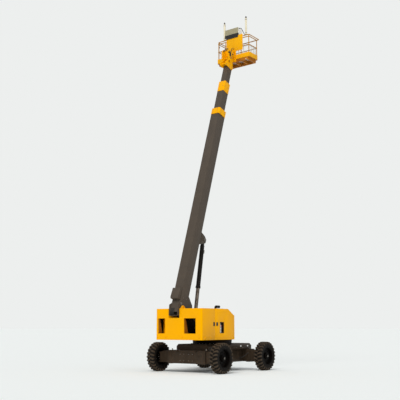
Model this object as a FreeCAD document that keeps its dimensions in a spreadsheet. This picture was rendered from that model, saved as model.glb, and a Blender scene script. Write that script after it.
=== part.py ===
import FreeCAD, Part
import Sketcher
import math
import os
import re

# Telescopic boom lift with a rotating upper structure, a three-section boom and a levelled
# work platform. Millimetres, +Z up, +X the way the boom leans, +Y to the machine's left.
# The machine is shown with its axles drawn out and its boom raised and drawn in.

# ---------------------------------------------------------------- driving dimensions
SIZES = [
    # whole machine
    ("slew_setback", 283), ("boom_offset", 200),
    # wheels
    ("wheel_base", 3050), ("track_width", 3100), ("tyre_radius", 575), ("tyre_width", 340),
    ("lug_height", 27), ("lug_count", 24), ("lug_width", 62), ("lug_slant", 26),
    ("rim_radius", 340), ("rim_wall", 12), ("rim_width", 290), ("rim_lip", 14),
    ("dish_inset", 20), ("dish_thick", 26), ("hub_radius", 130), ("hub_reach", 70),
    # axles and steering
    ("axle_box_depth", 350), ("axle_box_low", 340), ("axle_box_high", 850),
    ("axle_box_reach", 930), ("axle_box_wall", 26), ("collar_length", 180), ("collar_proud", 14),
    ("beam_gap", 6), ("beam_wall", 22), ("beam_root", 360), ("beam_tip", 1370),
    ("kingpin_inset", 110), ("yoke_thick", 42), ("yoke_inner", 155), ("yoke_half_width", 88),
    ("spindle_radius", 108), ("knuckle_radius", 62), ("beam_slope", 190), ("beam_drop", 73),
    ("arm_reach", 215), ("arm_thick", 36),
    # chassis
    ("hull_half_width", 600), ("deck_half_width", 780), ("deck_reach", 1700), ("deck_high", 1080),
    ("deck_rear_reach", 1340),
    ("deck_chamfer", 90), ("hull_wall", 14), ("tie_eye_radius", 28), ("tie_lug_thick", 34),
    ("tie_spread", 468),
    ("ring_radius", 800), ("ring_inner", 720), ("ring_height", 165),
    # upper structure
    ("upper_rear", 2200), ("upper_front", 40), ("upper_half_width", 1135), ("upper_low", 1250),
    ("upper_high", 2450), ("floor_thick", 50), ("corner_round", 60),
    ("weight_front", 1350), ("weight_wall", 350), ("weight_wing", 250),
    ("window_low", 1490), ("window_high", 2080), ("left_window_from", 660),
    ("left_window_to", 1030), ("right_window_from", 270), ("right_window_to", 850),
    ("notch_low", 2090), ("notch_half_width", 250), ("notch_left_spare", 50),
    ("hood_wall", 14), ("hinge_radius", 10), ("hood_gap", 8), ("hood_slope_run", 440),
    ("hood_slope_drop", 265),
    ("right_hood_inner", 400), ("left_hood_inner", 560),
    ("engine_length", 560), ("engine_width", 380), ("engine_height", 400),
    ("panel_rear", 1010), ("panel_front", 770), ("panel_low", 1520), ("panel_high", 1920),
    ("riser_thick", 40), ("riser_gap", 12), ("riser_crown", 120),
    # boom pivot and lift cylinder
    ("pivot_x", 1500), ("pivot_z", 2360), ("pivot_pin_radius", 50), ("pin_play", 0.08),
    ("boom_angle", 72.35), ("boom_axis_height", 450),
    ("cyl_foot_x", 980), ("cyl_foot_z", 1620), ("cyl_head_x", 3160), ("cyl_head_z", -190),
    ("cyl_pin_radius", 40), ("barrel_radius", 92), ("barrel_length", 2045), ("bore_radius", 80),
    ("barrel_neck", 255), ("barrel_end", 45), ("neck_depth", 124), ("rod_radius", 75),
    ("rod_root", 1450), ("rod_neck", 110), ("eye_radius", 84), ("eye_width", 100),
    ("eye_gap", 8), ("lug_plate", 25),
    # boom sections
    ("base_width", 400), ("base_depth", 460), ("base_wall", 8), ("base_tail", 250), ("tail_reach", 400),
    ("base_tip", 9065), ("mid_width", 322), ("mid_depth", 372), ("mid_wall", 7),
    ("mid_tail", 300), ("mid_show", 1440), ("fly_width", 256), ("fly_depth", 294),
    ("fly_wall", 6), ("fly_tail", 500), ("fly_show", 960),
    ("base_collar_length", 265), ("base_collar_wall", 28), ("mid_collar_length", 485),
    ("mid_collar_wall", 12), ("slide_gap", 3), ("ear_thick", 20),
    ("collar_chamfer", 40), ("mid_collar_chamfer", 14), ("mid_tip", "=base_tip+mid_show"),
    ("fly_tip", "=mid_tip+fly_show"),
    # head, levelling bracket and rotator
    ("head_reach", 315), ("level_x", "=fly_tip+head_reach"), ("level_z", 600),
    ("level_pin_radius", 30), ("head_plate", 25),
    ("bracket_gap", 7), ("bracket_plate", 20), ("rotator_reach", 235), ("rotator_radius", 105),
    ("rotator_low", 133), ("rotator_height", 300), ("clamp_plate", 24), ("clamp_gap", 4),
    # platform, measured from the levelling pin
    ("cage_setback", 200), ("cage_depth", 690), ("cage_width", 1760), ("cage_low", 78),
    ("cage_height", 1064), ("mid_rail_height", 565), ("rail_radius", 19), ("floor_bar", 50),
    ("floor_low", -60), ("floor_depth", 165), ("floor_inset", 80), ("kick_height", 212),
    ("kick_thick", 4), ("gate_gap", 12), ("ring_drop", 90), ("rail_flare", 200),
    ("console_width", 740), ("console_depth", 330), ("console_height", 370),
    ("console_shift", 70), ("console_wall", 16), ("console_lift", 85), ("post_radius", 45),
    ("post_height", 770),
    ("post_spread", 1200), ("post_shift", -110), ("post_tip", 110),
    ("back_panel_width", 880), ("back_panel_shift", -90), ("back_panel_thick", 6),
    ("mesh_thick", 3),
]

doc = FreeCAD.newDocument("BoomLift")
sheet = doc.addObject("Spreadsheet::Sheet", "Sizes")
for row, (alias, value) in enumerate(SIZES, start=1):
    sheet.set("A%d" % row, alias)
    sheet.set("B%d" % row, str(value))
    sheet.setAlias("B%d" % row, alias)
doc.recompute()
ALIASES = set(alias for alias, value in SIZES)
PARTS = []


# ---------------------------------------------------------------- small helpers
def size(alias):
    """The number that the sheet holds for an alias."""
    return float(sheet.get(alias))


def bound(text):
    """An expression on the sheet, from a text that names its aliases plainly."""
    return re.sub(r"[A-Za-z_]\w*",
                  lambda m: "Sizes." + m.group() if m.group() in ALIASES else m.group(),
                  str(text))


def vec(x, y, z):
    return FreeCAD.Vector(x, y, z)


def turn(axis, degrees):
    return FreeCAD.Rotation(vec(*axis), degrees)


def bind(item, **expressions):
    for name, text in expressions.items():
        item.setExpression(name, bound(text))
    return item


def move_by(item, at):
    for letter, text in zip("xyz", at):
        item.setExpression("Placement.Base." + letter, bound(text))
    return item


def block(name, low, spans):
    """A box from its lowest corner and its three spans, all expressions."""
    item = doc.addObject("Part::Box", name)
    bind(item, Length=spans[0], Width=spans[1], Height=spans[2])
    return move_by(item, low)


def round_bar(name, radius, length, at, axis="z"):
    """A cylinder that starts at a point and runs along +x, +y or +z."""
    item = doc.addObject("Part::Cylinder", name)
    bind(item, Radius=radius, Height=length)
    spin = {"x": ((0, 1, 0), 90), "y": ((1, 0, 0), -90), "z": ((0, 0, 1), 0)}[axis]
    item.Placement.Rotation = turn(*spin)
    return move_by(item, at)


def sided_bar(name, radius, length, at, sides, axis="y", roll=0):
    """A regular prism along +x, +y or +z, turned by an angle about its own length."""
    item = doc.addObject("Part::Prism", name)
    item.Polygon = sides
    bind(item, Circumradius=radius, Height=length)
    spin = {"x": ((0, 1, 0), 90), "y": ((1, 0, 0), -90), "z": ((0, 0, 1), 0)}[axis]
    item.Placement.Rotation = turn(*spin) * turn((0, 0, 1), roll)
    return move_by(item, at)


def fused(name, pieces):
    item = doc.addObject("Part::MultiFuse", name)
    item.Shapes = pieces
    item.Refine = True
    return item


def cut(name, base, tools):
    item = doc.addObject("Part::Cut", name)
    item.Base = base
    item.Tool = tools[0] if len(tools) == 1 else fused(name + "_tools", tools)
    return item


def carried(item):
    """The same piece as a group of its own, so that it can be placed again."""
    group = doc.addObject("Part::Compound", item.Name + "_placed")
    group.Links = [item]
    return group


def outline(body, role, corners, name):
    """A closed outline whose corners are expressions, on one of the body's own planes."""
    sketch = body.newObject("Sketcher::SketchObject", name)
    plane = [f for f in body.Origin.OriginFeatures if f.Role == role][0]
    sketch.AttachmentSupport = [(plane, "")]
    sketch.MapMode = "FlatFace"
    count = len(corners)
    ring = [vec(math.cos(k * math.tau / count), math.sin(k * math.tau / count), 0) * 100
            for k in range(count)]
    for k in range(count):
        sketch.addGeometry(Part.LineSegment(ring[k], ring[(k + 1) % count]))
    for k in range(count):
        sketch.addConstraint(Sketcher.Constraint("Coincident", k, 2, (k + 1) % count, 1))
    for k, corner in enumerate(corners):
        for kind, text, start in zip(("DistanceX", "DistanceY"), corner, ring[k][:2]):
            spot = sketch.addConstraint(Sketcher.Constraint(kind, -1, 1, k, 1, start))
            sketch.setExpression("Constraints[%d]" % spot, bound(text))
    return sketch


def plate(name, corners, thick, at=("0", "0", "0"), role="XZ_Plane"):
    """A plate of even thickness about its middle plane, with the given outline."""
    body = doc.addObject("PartDesign::Body", name)
    sketch = outline(body, role, corners, name + "_outline")
    pad = body.newObject("PartDesign::Pad", name + "_pad")
    pad.Profile = sketch
    pad.Midplane = True
    bind(pad, Length=thick)
    return move_by(body, at)


def square_tube(name, start, length, width, depth, wall, axis_height="boom_axis_height"):
    """A rectangular tube along x, open at both ends."""
    outer = block(name + "_outer", (start, "-(%s)/2" % width, "%s-(%s)/2" % (axis_height, depth)),
                  (length, width, depth))
    inner = block(name + "_inner",
                  ("%s-10" % start, "-(%s)/2+%s" % (width, wall),
                   "%s-(%s)/2+%s" % (axis_height, depth, wall)),
                  ("%s+20" % length, "%s-2*%s" % (width, wall), "%s-2*%s" % (depth, wall)))
    return cut(name, outer, [inner])


def keep(item, node, placement=None):
    """Names a finished sub-part and sets where it stands."""
    item.Label = node
    if placement is not None:
        item.Placement = placement
    PARTS.append(item)
    return item


def copy_of(source, node, placement):
    """The same piece again, at another place."""
    item = doc.addObject("Part::Feature", node + "_copy")
    item.Shape = source.Shape.copy()
    return keep(item, node, placement)


# ---------------------------------------------------------------- frames of the moving groups
SETBACK = vec(-size("slew_setback"), 0, 0)
MACHINE = FreeCAD.Placement(SETBACK, FreeCAD.Rotation())
PIVOT = SETBACK + vec(-size("pivot_x"), size("boom_offset"), size("pivot_z"))
BOOM = FreeCAD.Placement(PIVOT, turn((0, 1, 0), -size("boom_angle")))
LEVEL_PIN = BOOM.multVec(vec(size("level_x"), 0, size("level_z")))
LEVEL = FreeCAD.Placement(LEVEL_PIN, FreeCAD.Rotation())
CYL_FOOT = SETBACK + vec(-size("cyl_foot_x"), size("boom_offset"), size("cyl_foot_z"))
CYL_HEAD = BOOM.multVec(vec(size("cyl_head_x"), 0, size("cyl_head_z")))
CYL_LINE = CYL_HEAD - CYL_FOOT
CYL_ANGLE = math.degrees(math.atan2(CYL_LINE.z, CYL_LINE.x))
CYLINDER = FreeCAD.Placement(CYL_HEAD, turn((0, 1, 0), 180 - CYL_ANGLE))
CORNERS = [("rear_left", -1, 1), ("rear_right", -1, -1), ("front_left", 1, 1),
           ("front_right", 1, -1)]


def corner_placement(front, side):
    """Place of a wheel-corner piece: local +y points out of the machine."""
    at = SETBACK + vec(front * size("wheel_base") / 2, 0, 0)
    return FreeCAD.Placement(at, turn((0, 0, 1), 0 if side > 0 else 180))


# ---------------------------------------------------------------- chassis
def make_chassis():
    """Welded hull under a wide deck, both hollow."""
    hull = block("hull_box", ("-(wheel_base/2-axle_box_depth/2)", "-hull_half_width",
                              "axle_box_low"),
                 ("wheel_base-axle_box_depth", "2*hull_half_width",
                  "axle_box_high-axle_box_low"))
    side, chamfer = "deck_half_width", "deck_chamfer"
    deck = plate("deck", [("-" + side, "axle_box_high"), (side, "axle_box_high"),
                          (side, "deck_high-" + chamfer), (side + "-" + chamfer, "deck_high"),
                          ("-%s+%s" % (side, chamfer), "deck_high"),
                          ("-" + side, "deck_high-" + chamfer)],
                 "deck_reach+deck_rear_reach", at=("(deck_reach-deck_rear_reach)/2", "0", "0"),
                 role="YZ_Plane")
    wall = "hull_wall"
    hold = block("hull_hold", ("-(wheel_base/2-axle_box_depth/2)+" + wall,
                               "-hull_half_width+" + wall, "axle_box_low+" + wall),
                 ("wheel_base-axle_box_depth-2*" + wall, "2*hull_half_width-2*" + wall,
                  "axle_box_high-axle_box_low-2*" + wall))
    room = block("deck_hold", ("-deck_rear_reach+" + wall, "-%s+%s" % (side, wall),
                               "axle_box_high+" + wall),
                 ("deck_reach+deck_rear_reach-2*" + wall, "2*%s-2*%s" % (side, wall),
                  "deck_high-deck_chamfer-axle_box_high-" + wall))
    keep(cut("chassis_shell", fused("chassis_solid", [hull, deck]), [hold, room]),
         "chassis_frame", MACHINE)


def tie_ears(name, front):
    """Two level ears with upright eyes on the box's outer face, for lashing the machine down."""
    root, nose = "%d*(axle_box_depth/2-4)" % front, "%d*(axle_box_depth/2+90)" % front
    low = "axle_box_high-2*tie_lug_thick"
    ears, eyes = [], []
    for tag, sign in (("left", ""), ("right", "-")):
        y = sign + "tie_spread"
        ears.append(plate("%s_ear_%s" % (name, tag),
                          [(root, y + "-85"), (nose, y + "-45"), (nose, y + "+45"),
                           (root, y + "+85")],
                          "tie_lug_thick", at=("0", "0", low + "+tie_lug_thick/2"),
                          role="XY_Plane"))
        eyes.append(round_bar("%s_eye_%s" % (name, tag), "tie_eye_radius", "3*tie_lug_thick",
                              ("%d*(axle_box_depth/2+48)" % front, y, low + "-tie_lug_thick")))
    return ears, eyes


def make_axle_box(front):
    """The box that both beams of one axle slide in, with a collar round each mouth."""
    name = "axle_box_front" if front > 0 else "axle_box_rear"
    height = "axle_box_high-axle_box_low"
    wall = "axle_box_wall"
    outer = block(name + "_outer", ("-axle_box_depth/2", "-axle_box_reach", "axle_box_low"),
                  ("axle_box_depth", "2*axle_box_reach", height))
    collars = [block("%s_collar_%s" % (name, tag),
                     ("-axle_box_depth/2-collar_proud", start, "axle_box_low-collar_proud"),
                     ("axle_box_depth+2*collar_proud", "collar_length",
                      height + "+collar_proud"))
               for tag, start in (("left", "axle_box_reach-collar_length"),
                                  ("right", "-axle_box_reach"))]
    hollow = block(name + "_hollow", ("-axle_box_depth/2+" + wall, "-axle_box_reach-10",
                                      "axle_box_low+" + wall),
                   ("axle_box_depth-2*" + wall, "2*axle_box_reach+20",
                    height + "-2*" + wall))
    ears, eyes = tie_ears(name, front)
    box = cut(name + "_weldment", fused(name + "_shell", [outer] + collars + ears),
              [hollow] + eyes)
    keep(box, name, FreeCAD.Placement(SETBACK + vec(front * size("wheel_base") / 2, 0, 0),
                                      FreeCAD.Rotation()))


def make_slew_ring():
    """Ring bearing between the deck and the upper structure."""
    ring = round_bar("ring_body", "ring_radius", "ring_height", ("0", "0", "deck_high"))
    bore = sided_bar("ring_bore", "ring_inner", "ring_height+20", ("0", "0", "deck_high-10"), 24,
                     axis="z")
    keep(cut("ring_turned", ring, [bore]), "slew_ring", MACHINE)


# ---------------------------------------------------------------- axle beams, knuckles, wheels
BEAM_DEPTH = "(axle_box_depth-2*axle_box_wall-2*beam_gap)"
BEAM_HEIGHT = "(axle_box_high-axle_box_low-2*axle_box_wall-2*beam_gap)"
KINGPIN = "(track_width/2-kingpin_inset)"


def make_beam():
    """Hollow sliding beam whose outer end carries the yoke for the kingpin."""
    middle = "(axle_box_low+axle_box_high)/2"
    outer = block("beam_outer", ("-%s/2" % BEAM_DEPTH, "beam_root",
                                 "%s-%s/2" % (middle, BEAM_HEIGHT)),
                  (BEAM_DEPTH, "beam_tip-beam_root", BEAM_HEIGHT))
    inner = block("beam_inner", ("-%s/2+beam_wall" % BEAM_DEPTH, "beam_root-10",
                                 "%s-%s/2+beam_wall" % (middle, BEAM_HEIGHT)),
                  (BEAM_DEPTH + "-2*beam_wall", "beam_tip-beam_root-beam_wall+10",
                   BEAM_HEIGHT + "-2*beam_wall"))
    arms = []
    for tag, low in (("top", "tyre_radius+yoke_inner"),
                     ("bottom", "tyre_radius-yoke_inner-yoke_thick")):
        flat = block("yoke_%s_flat" % tag, ("-yoke_half_width", "beam_tip-beam_wall", low),
                     ("2*yoke_half_width", KINGPIN + "-beam_tip+beam_wall", "yoke_thick"))
        nose = round_bar("yoke_%s_nose" % tag, "yoke_half_width", "yoke_thick",
                         ("0", KINGPIN, low))
        arms += [flat, nose]
    high = "%s+%s/2" % (middle, BEAM_HEIGHT)
    wedge = plate("beam_slope_cut", [("beam_tip-beam_slope", high), ("beam_tip+10", high),
                                     ("beam_tip+10", high + "-beam_drop")],
                  "axle_box_depth", role="YZ_Plane")
    slope = plate("beam_slope_plate", [("beam_tip-beam_slope", high),
                                       ("beam_tip", high + "-beam_drop"),
                                       ("beam_tip", high + "-beam_drop-beam_wall"),
                                       ("beam_tip-beam_slope", high + "-beam_wall")],
                  BEAM_DEPTH, role="YZ_Plane")
    tube = cut("beam_sloped", cut("beam_tube", outer, [inner]), [wedge])
    return fused("beam_weldment", [tube, slope] + arms)


def make_knuckle(hand):
    """Kingpin barrel in the yoke, with the spindle housing and a steering arm to the rear."""
    tag = "_left" if hand > 0 else "_right"
    half = "yoke_inner-3"
    barrel = sided_bar("knuckle_barrel" + tag, "knuckle_radius", "2*(%s)" % half,
                       ("0", KINGPIN, "tyre_radius-(%s)" % half), 12, axis="z")
    spindle = round_bar("knuckle_spindle" + tag, "spindle_radius",
                        "kingpin_inset+dish_inset-5", ("0", KINGPIN, "tyre_radius"), axis="y")
    arm = plate("steering_arm" + tag,
                [("0", KINGPIN + "+30"), ("%d*arm_reach" % -hand, KINGPIN + "+35"),
                 ("%d*(arm_reach+20)" % -hand, KINGPIN + "+60"),
                 ("%d*arm_reach" % -hand, KINGPIN + "+85"), ("0", KINGPIN + "+100")],
                "arm_thick", at=("0", "0", "tyre_radius-yoke_inner+40"), role="XY_Plane")
    return fused("knuckle_casting" + tag, [barrel, spindle, arm])


def make_rim():
    """Deep-dished rim with lips, disc and the drive hub; local +y is the outer side."""
    sides = int(size("lug_count"))
    half = "rim_width/2"
    barrel = sided_bar("rim_barrel", "rim_radius", "rim_width", ("0", "-" + half, "0"), sides)
    lips = [sided_bar("rim_lip_" + tag, "rim_radius+rim_lip", "rim_wall", ("0", start, "0"),
                      sides)
            for tag, start in (("inner", "-%s-rim_wall" % half), ("outer", half))]
    bore = sided_bar("rim_bore", "rim_radius-rim_wall", "rim_width+4*rim_wall",
                     ("0", "-%s-2*rim_wall" % half, "0"), sides)
    disc = sided_bar("rim_disc", "rim_radius-rim_wall/2", "dish_thick", ("0", "dish_inset", "0"),
                     sides)
    hub = sided_bar("hub_drum", "hub_radius", "hub_reach",
                    ("0", "dish_inset+dish_thick", "0"), 16)
    cap = sided_bar("hub_cap", "0.6*hub_radius", "0.5*hub_reach",
                    ("0", "dish_inset+dish_thick+hub_reach", "0"), 8)
    shell = cut("rim_shell", fused("rim_solid", [barrel] + lips), [bore])
    return fused("rim_assembly", [shell, disc, hub, cap])


def flat_sided(profile, sides):
    """A ring-shaped solid with flat faces round y, from a closed (along, radius) profile."""
    rings = [[vec(radius * math.sin(k * math.tau / sides), along,
                  -radius * math.cos(k * math.tau / sides)) for k in range(sides)]
             for along, radius in profile]
    faces = []
    for first, second in zip(rings, rings[1:] + rings[:1]):
        for k in range(sides):
            n = (k + 1) % sides
            corners = [first[k], first[n], second[n], second[k]]
            faces.append(Part.Face(Part.makePolygon(corners + corners[:1])))
    shell = Part.makeShell(faces)
    shell.sewShape()
    solid = Part.makeSolid(shell)
    return solid if solid.Volume > 0 else solid.reversed()


def make_tyre():
    """Flat-sided carcass with one chevron bar on each of its flats."""
    sides = int(size("lug_count"))
    half, crown = size("tyre_width") / 2, size("tyre_radius") - size("lug_height")
    bead, lip = size("rim_radius") + 1, size("rim_width") / 2
    span = crown - bead
    profile = [(-lip + 8, bead), (-half, bead + 0.45 * span), (-half + 10, crown - 22),
               (-half + 38, crown)]
    profile += [(-along, radius) for along, radius in reversed(profile)]
    carcass = flat_sided(profile, sides)
    bars = []
    for number in range(sides):
        bar = tread_bar(half)
        bar.rotate(vec(0, 0, 0), vec(0, 1, 0), (number + 0.5) * 360.0 / sides)
        bars.append(bar)
    tyre = doc.addObject("Part::Feature", "tyre_moulding")
    tyre.Shape = carcass.multiFuse(bars).removeSplitter()
    return tyre


def tread_bar(half):
    """One chevron bar that stands on the carcass straight below the wheel's centre."""
    width, slant = size("lug_width") / 2, size("lug_slant")
    tip = -math.sqrt(size("tyre_radius") ** 2 - (width + slant) ** 2)
    outer = half - 8
    corners = [vec(-width - slant, 0, tip), vec(width - slant, 0, tip),
               vec(width + slant, outer, tip), vec(-width + slant, outer, tip)]
    left = Part.Face(Part.makePolygon(corners + corners[:1]))
    right = left.mirror(vec(0, 0, 0), vec(0, 1, 0))
    rise = vec(0, 0, size("lug_height") + 14)
    return left.extrude(rise).fuse(right.extrude(rise)).removeSplitter()


def make_corners():
    """The four wheel corners from one beam, knuckle, rim and tyre."""
    beam, rim, tyre = make_beam(), make_rim(), make_tyre()
    knuckles = {1: make_knuckle(1), -1: make_knuckle(-1)}
    doc.recompute()
    for name, front, side in CORNERS:
        at = corner_placement(front, side)
        copy_of(beam, "axle_beam_" + name, at)
        copy_of(knuckles[side], "knuckle_" + name, at)
        hub = at.multVec(vec(0, size("track_width") / 2, size("tyre_radius")))
        copy_of(rim, "rim_" + name, FreeCAD.Placement(hub, at.Rotation))
        copy_of(tyre, "tyre_" + name, FreeCAD.Placement(hub, at.Rotation))


# ---------------------------------------------------------------- upper structure
RISER_SPREAD = "(base_width/2+ear_thick+riser_gap+riser_thick/2)"


def make_upper_frame():
    """Floor plate, riser plates that hold the boom's foot, and the lift cylinder's lugs."""
    floor = block("floor_plate", ("-weight_front", "-upper_half_width+45", "upper_low"),
                  ("weight_front-upper_front-40", "2*upper_half_width-90", "floor_thick"))
    rear_floor = block("rear_floor_plate", ("-upper_rear+weight_wall",
                                            "-upper_half_width+weight_wing", "upper_low"),
                       ("upper_rear-weight_wall-weight_front",
                        "2*upper_half_width-2*weight_wing", "floor_thick"))
    top = "upper_low+floor_thick"
    crown, x, z = "riser_crown", "pivot_x", "pivot_z"
    corners = [("-upper_rear+weight_wall+20", top), ("-upper_front-90", top),
               ("-upper_front-90", top + "+260"), ("-%s+2.1*%s" % (x, crown), z + "-420"),
               ("-%s+%s" % (x, crown), z + "-0.35*" + crown),
               ("-%s+0.55*%s" % (x, crown), "%s+0.8*%s" % (z, crown)),
               ("-%s-0.55*%s" % (x, crown), "%s+0.8*%s" % (z, crown)),
               ("-%s-%s" % (x, crown), z + "-0.2*" + crown),
               ("-upper_rear+weight_wall+20", z + "-700")]
    risers = [plate("riser_%s" % tag, corners, "riser_thick",
                    at=("0", "boom_offset%s%s" % (sign, RISER_SPREAD), "0"))
              for tag, sign in (("left", "+"), ("right", "-"))]
    foot_x, foot_z = "cyl_foot_x", "cyl_foot_z"
    foot = [("-%s-150" % foot_x, top), ("-%s+150" % foot_x, top),
            ("-%s+0.6*eye_radius" % foot_x, foot_z + "+eye_radius"),
            ("-%s-0.6*eye_radius" % foot_x, foot_z + "+eye_radius")]
    lug_spread = "(eye_width/2+eye_gap+lug_plate/2)"
    lugs = [plate("foot_lug_%s" % tag, foot, "lug_plate",
                  at=("0", "boom_offset%s%s" % (sign, lug_spread), "0"))
            for tag, sign in (("left", "+"), ("right", "-"))]
    bosses = [round_bar("foot_boss_%s" % tag, "1.4*cyl_pin_radius", "lug_plate",
                        ("-" + foot_x, start, foot_z), axis="y")
              for tag, start in (("left", "boom_offset+eye_width/2+eye_gap+lug_plate"),
                                 ("right", "boom_offset-eye_width/2-eye_gap-2*lug_plate"))]
    stiff = block("cross_member", ("-upper_front-130", "boom_offset-" + RISER_SPREAD, top),
                  ("40", "2*" + RISER_SPREAD, "200"))
    body = fused("upper_weldment", [floor, rear_floor, stiff] + risers + lugs + bosses)
    pin_hole = round_bar("riser_bore", "pivot_pin_radius", "4*" + RISER_SPREAD,
                         ("-pivot_x", "boom_offset-2*" + RISER_SPREAD, "pivot_z"), axis="y")
    keep(cut("upper_machined", body, [pin_hole]), "upper_frame", MACHINE)


def make_boom_pin():
    """The pin through both riser plates and the boom's foot."""
    pin = round_bar("pin_bar", "pivot_pin_radius", "2*%s+riser_thick+30" % RISER_SPREAD,
                    ("-pivot_x", "boom_offset-%s-riser_thick/2-15" % RISER_SPREAD, "pivot_z"),
                    axis="y")
    keep(carried(pin), "boom_pivot_pin", MACHINE)


def make_counterweight():
    """C-shaped casting round the tail, with two windows, a notch and a lifting lug."""
    height = "upper_high-upper_low"
    body = doc.addObject("PartDesign::Body", "weight_casting")
    half = "upper_half_width"
    sketch = outline(body, "XY_Plane",
                     [("-upper_rear", "-" + half), ("-weight_front", "-" + half),
                      ("-weight_front", "-%s+weight_wing" % half),
                      ("-upper_rear+weight_wall", "-%s+weight_wing" % half),
                      ("-upper_rear+weight_wall", half + "-weight_wing"),
                      ("-weight_front", half + "-weight_wing"), ("-weight_front", half),
                      ("-upper_rear", half)], "weight_outline")
    pad = body.newObject("PartDesign::Pad", "weight_pad")
    pad.Profile = sketch
    bind(pad, Length=height)
    doc.recompute()
    corner_edges = ["Edge%d" % (k + 1) for k, edge in enumerate(pad.Shape.Edges)
                    if abs(edge.CenterOfMass.x + size("upper_rear")) < 1
                    and abs(abs(edge.CenterOfMass.y) - size("upper_half_width")) < 1]
    rounding = body.newObject("PartDesign::Fillet", "weight_corners")
    rounding.Base = (pad, corner_edges)
    bind(rounding, Radius="corner_round")
    body.Tip = rounding
    move_by(body, ("0", "0", "upper_low"))
    rear = "-upper_rear-60"
    depth = "weight_wall+120"
    windows = [block("window_left", (rear, "left_window_from", "window_low"),
                     (depth, "left_window_to-left_window_from", "window_high-window_low")),
               block("window_right", (rear, "-right_window_to", "window_low"),
                     (depth, "right_window_to-right_window_from",
                      "window_high-window_low"))]
    notch = block("boom_notch", (rear, "boom_offset-notch_half_width", "notch_low"),
                  (depth, "2*notch_half_width+notch_left_spare", "upper_high-notch_low+10"))
    lug_y = "boom_offset-notch_half_width-tie_lug_thick"
    lug = plate("weight_lug", [("-upper_rear+20", "upper_high-5"),
                               ("-upper_rear+weight_wall-20", "upper_high-5"),
                               ("-upper_rear+weight_wall/2+45", "upper_high+115"),
                               ("-upper_rear+weight_wall/2-45", "upper_high+115")],
                "tie_lug_thick", at=("0", lug_y, "0"))
    eye = round_bar("weight_lug_eye", "tie_eye_radius", "4*tie_lug_thick",
                    ("-upper_rear+weight_wall/2", lug_y + "-2*tie_lug_thick",
                     "upper_high+60"), axis="y")
    casting = cut("weight_cored", body, windows + [notch])
    keep(cut("weight_drilled", fused("weight_with_lug", [casting, lug]), [eye]),
         "counterweight", MACHINE)


def make_hood(side):
    """Sheet cover with a sloped front, hinged along its inner top edge."""
    name = "hood_left" if side > 0 else "hood_right"
    inner = "left_hood_inner" if side > 0 else "right_hood_inner"
    rear, front = "-weight_front+hood_gap", "-upper_front"
    wall = "hood_wall"
    shell = plate(name + "_solid",
                  [(rear, "upper_low+4"), (front, "upper_low+4"),
                   (front, "upper_high-hood_slope_drop"),
                   (front + "-hood_slope_run", "upper_high"), (rear, "upper_high")],
                  "upper_half_width-" + inner,
                  at=("0", "%d*(upper_half_width+%s)/2" % (side, inner), "0"))
    room = plate(name + "_room",
                 [(rear + "-50", "upper_low-20"), (front + "-" + wall, "upper_low-20"),
                  (front + "-" + wall, "upper_high-hood_slope_drop-0.7*" + wall),
                  (front + "-hood_slope_run-0.4*" + wall, "upper_high-" + wall),
                  (rear + "-50", "upper_high-" + wall)],
                 "upper_half_width-%s" % inner,
                 at=("0", "%d*((upper_half_width+%s)/2-%s)" % (side, inner, wall), "0"))
    tools = [room]
    if side < 0:
        tools.append(block("panel_window", ("-panel_rear-15", "-upper_half_width-30",
                                            "panel_low-15"),
                           ("panel_rear-panel_front+30", "100", "panel_high-panel_low+30")))
    hinges = [round_bar("%s_hinge_%d" % (name, number), "hinge_radius", "110",
                        (x, "%d*%s" % (side, inner), "upper_high"), axis="x")
              for number, x in enumerate((rear + "+60", front + "-hood_slope_run-170"))]
    keep(fused(name + "_hinged", [cut(name + "_pressing", shell, tools)] + hinges), name,
         MACHINE)


def make_engine():
    """Engine on its bearers, with the cooler at its front end."""
    floor = "upper_low+floor_thick"
    y = "-upper_half_width+280"
    engine = block("engine_mass", ("-weight_front+100", y, floor + "+70"),
                   ("engine_length", "engine_width", "engine_height"))
    cover = block("rocker_cover", ("-weight_front+150", y + "+90", floor + "+60+engine_height"),
                  ("engine_length-100", "engine_width-180", "110"))
    bearers = [block("bearer_" + tag, ("-weight_front+80", y + offset, floor),
                     ("engine_length+300", "60", "75"))
               for tag, offset in (("outer", "+10"), ("inner", "+engine_width-70"))]
    cooler = block("cooler_core", ("-weight_front+180+engine_length", y + "-60", floor + "+70"),
                   ("90", "engine_width+120", "engine_height+160"))
    shaft = round_bar("fan_shaft", "60", "90", ("-weight_front+95+engine_length",
                                                y + "+engine_width/2",
                                                floor + "+70+0.6*engine_height"), axis="x")
    keep(fused("engine_assembly", [engine, cover, cooler, shaft] + bearers), "engine_block",
         MACHINE)


def make_exhaust():
    """Silencer beside the boom's well, with a turned-out tail pipe."""
    at = ("-upper_front-165", "-right_hood_inner+82", "upper_low+floor_thick")
    can = sided_bar("silencer", "70", "880", at, 16, axis="z")
    pipe = sided_bar("tail_pipe", "36", "1300", at, 12, axis="z")
    spout = sided_bar("tail_spout", "36", "285", (at[0], at[1], at[2] + "+1300-36"), 12,
                      axis="x")
    keep(fused("exhaust_welded", [can, pipe, spout]), "exhaust", MACHINE)


def make_ground_controls():
    """Ground control box on its post, behind the right hood's window."""
    post = block("panel_post", ("-(panel_rear+panel_front)/2-35", "-upper_half_width+115",
                                "upper_low+floor_thick"),
                 ("70", "50", "panel_low-upper_low-floor_thick"))
    box = block("panel_box", ("-panel_rear", "-upper_half_width+60", "panel_low"),
                ("panel_rear-panel_front", "110", "panel_high-panel_low"))
    keep(fused("panel_assembly", [post, box]), "ground_controls", MACHINE)


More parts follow.
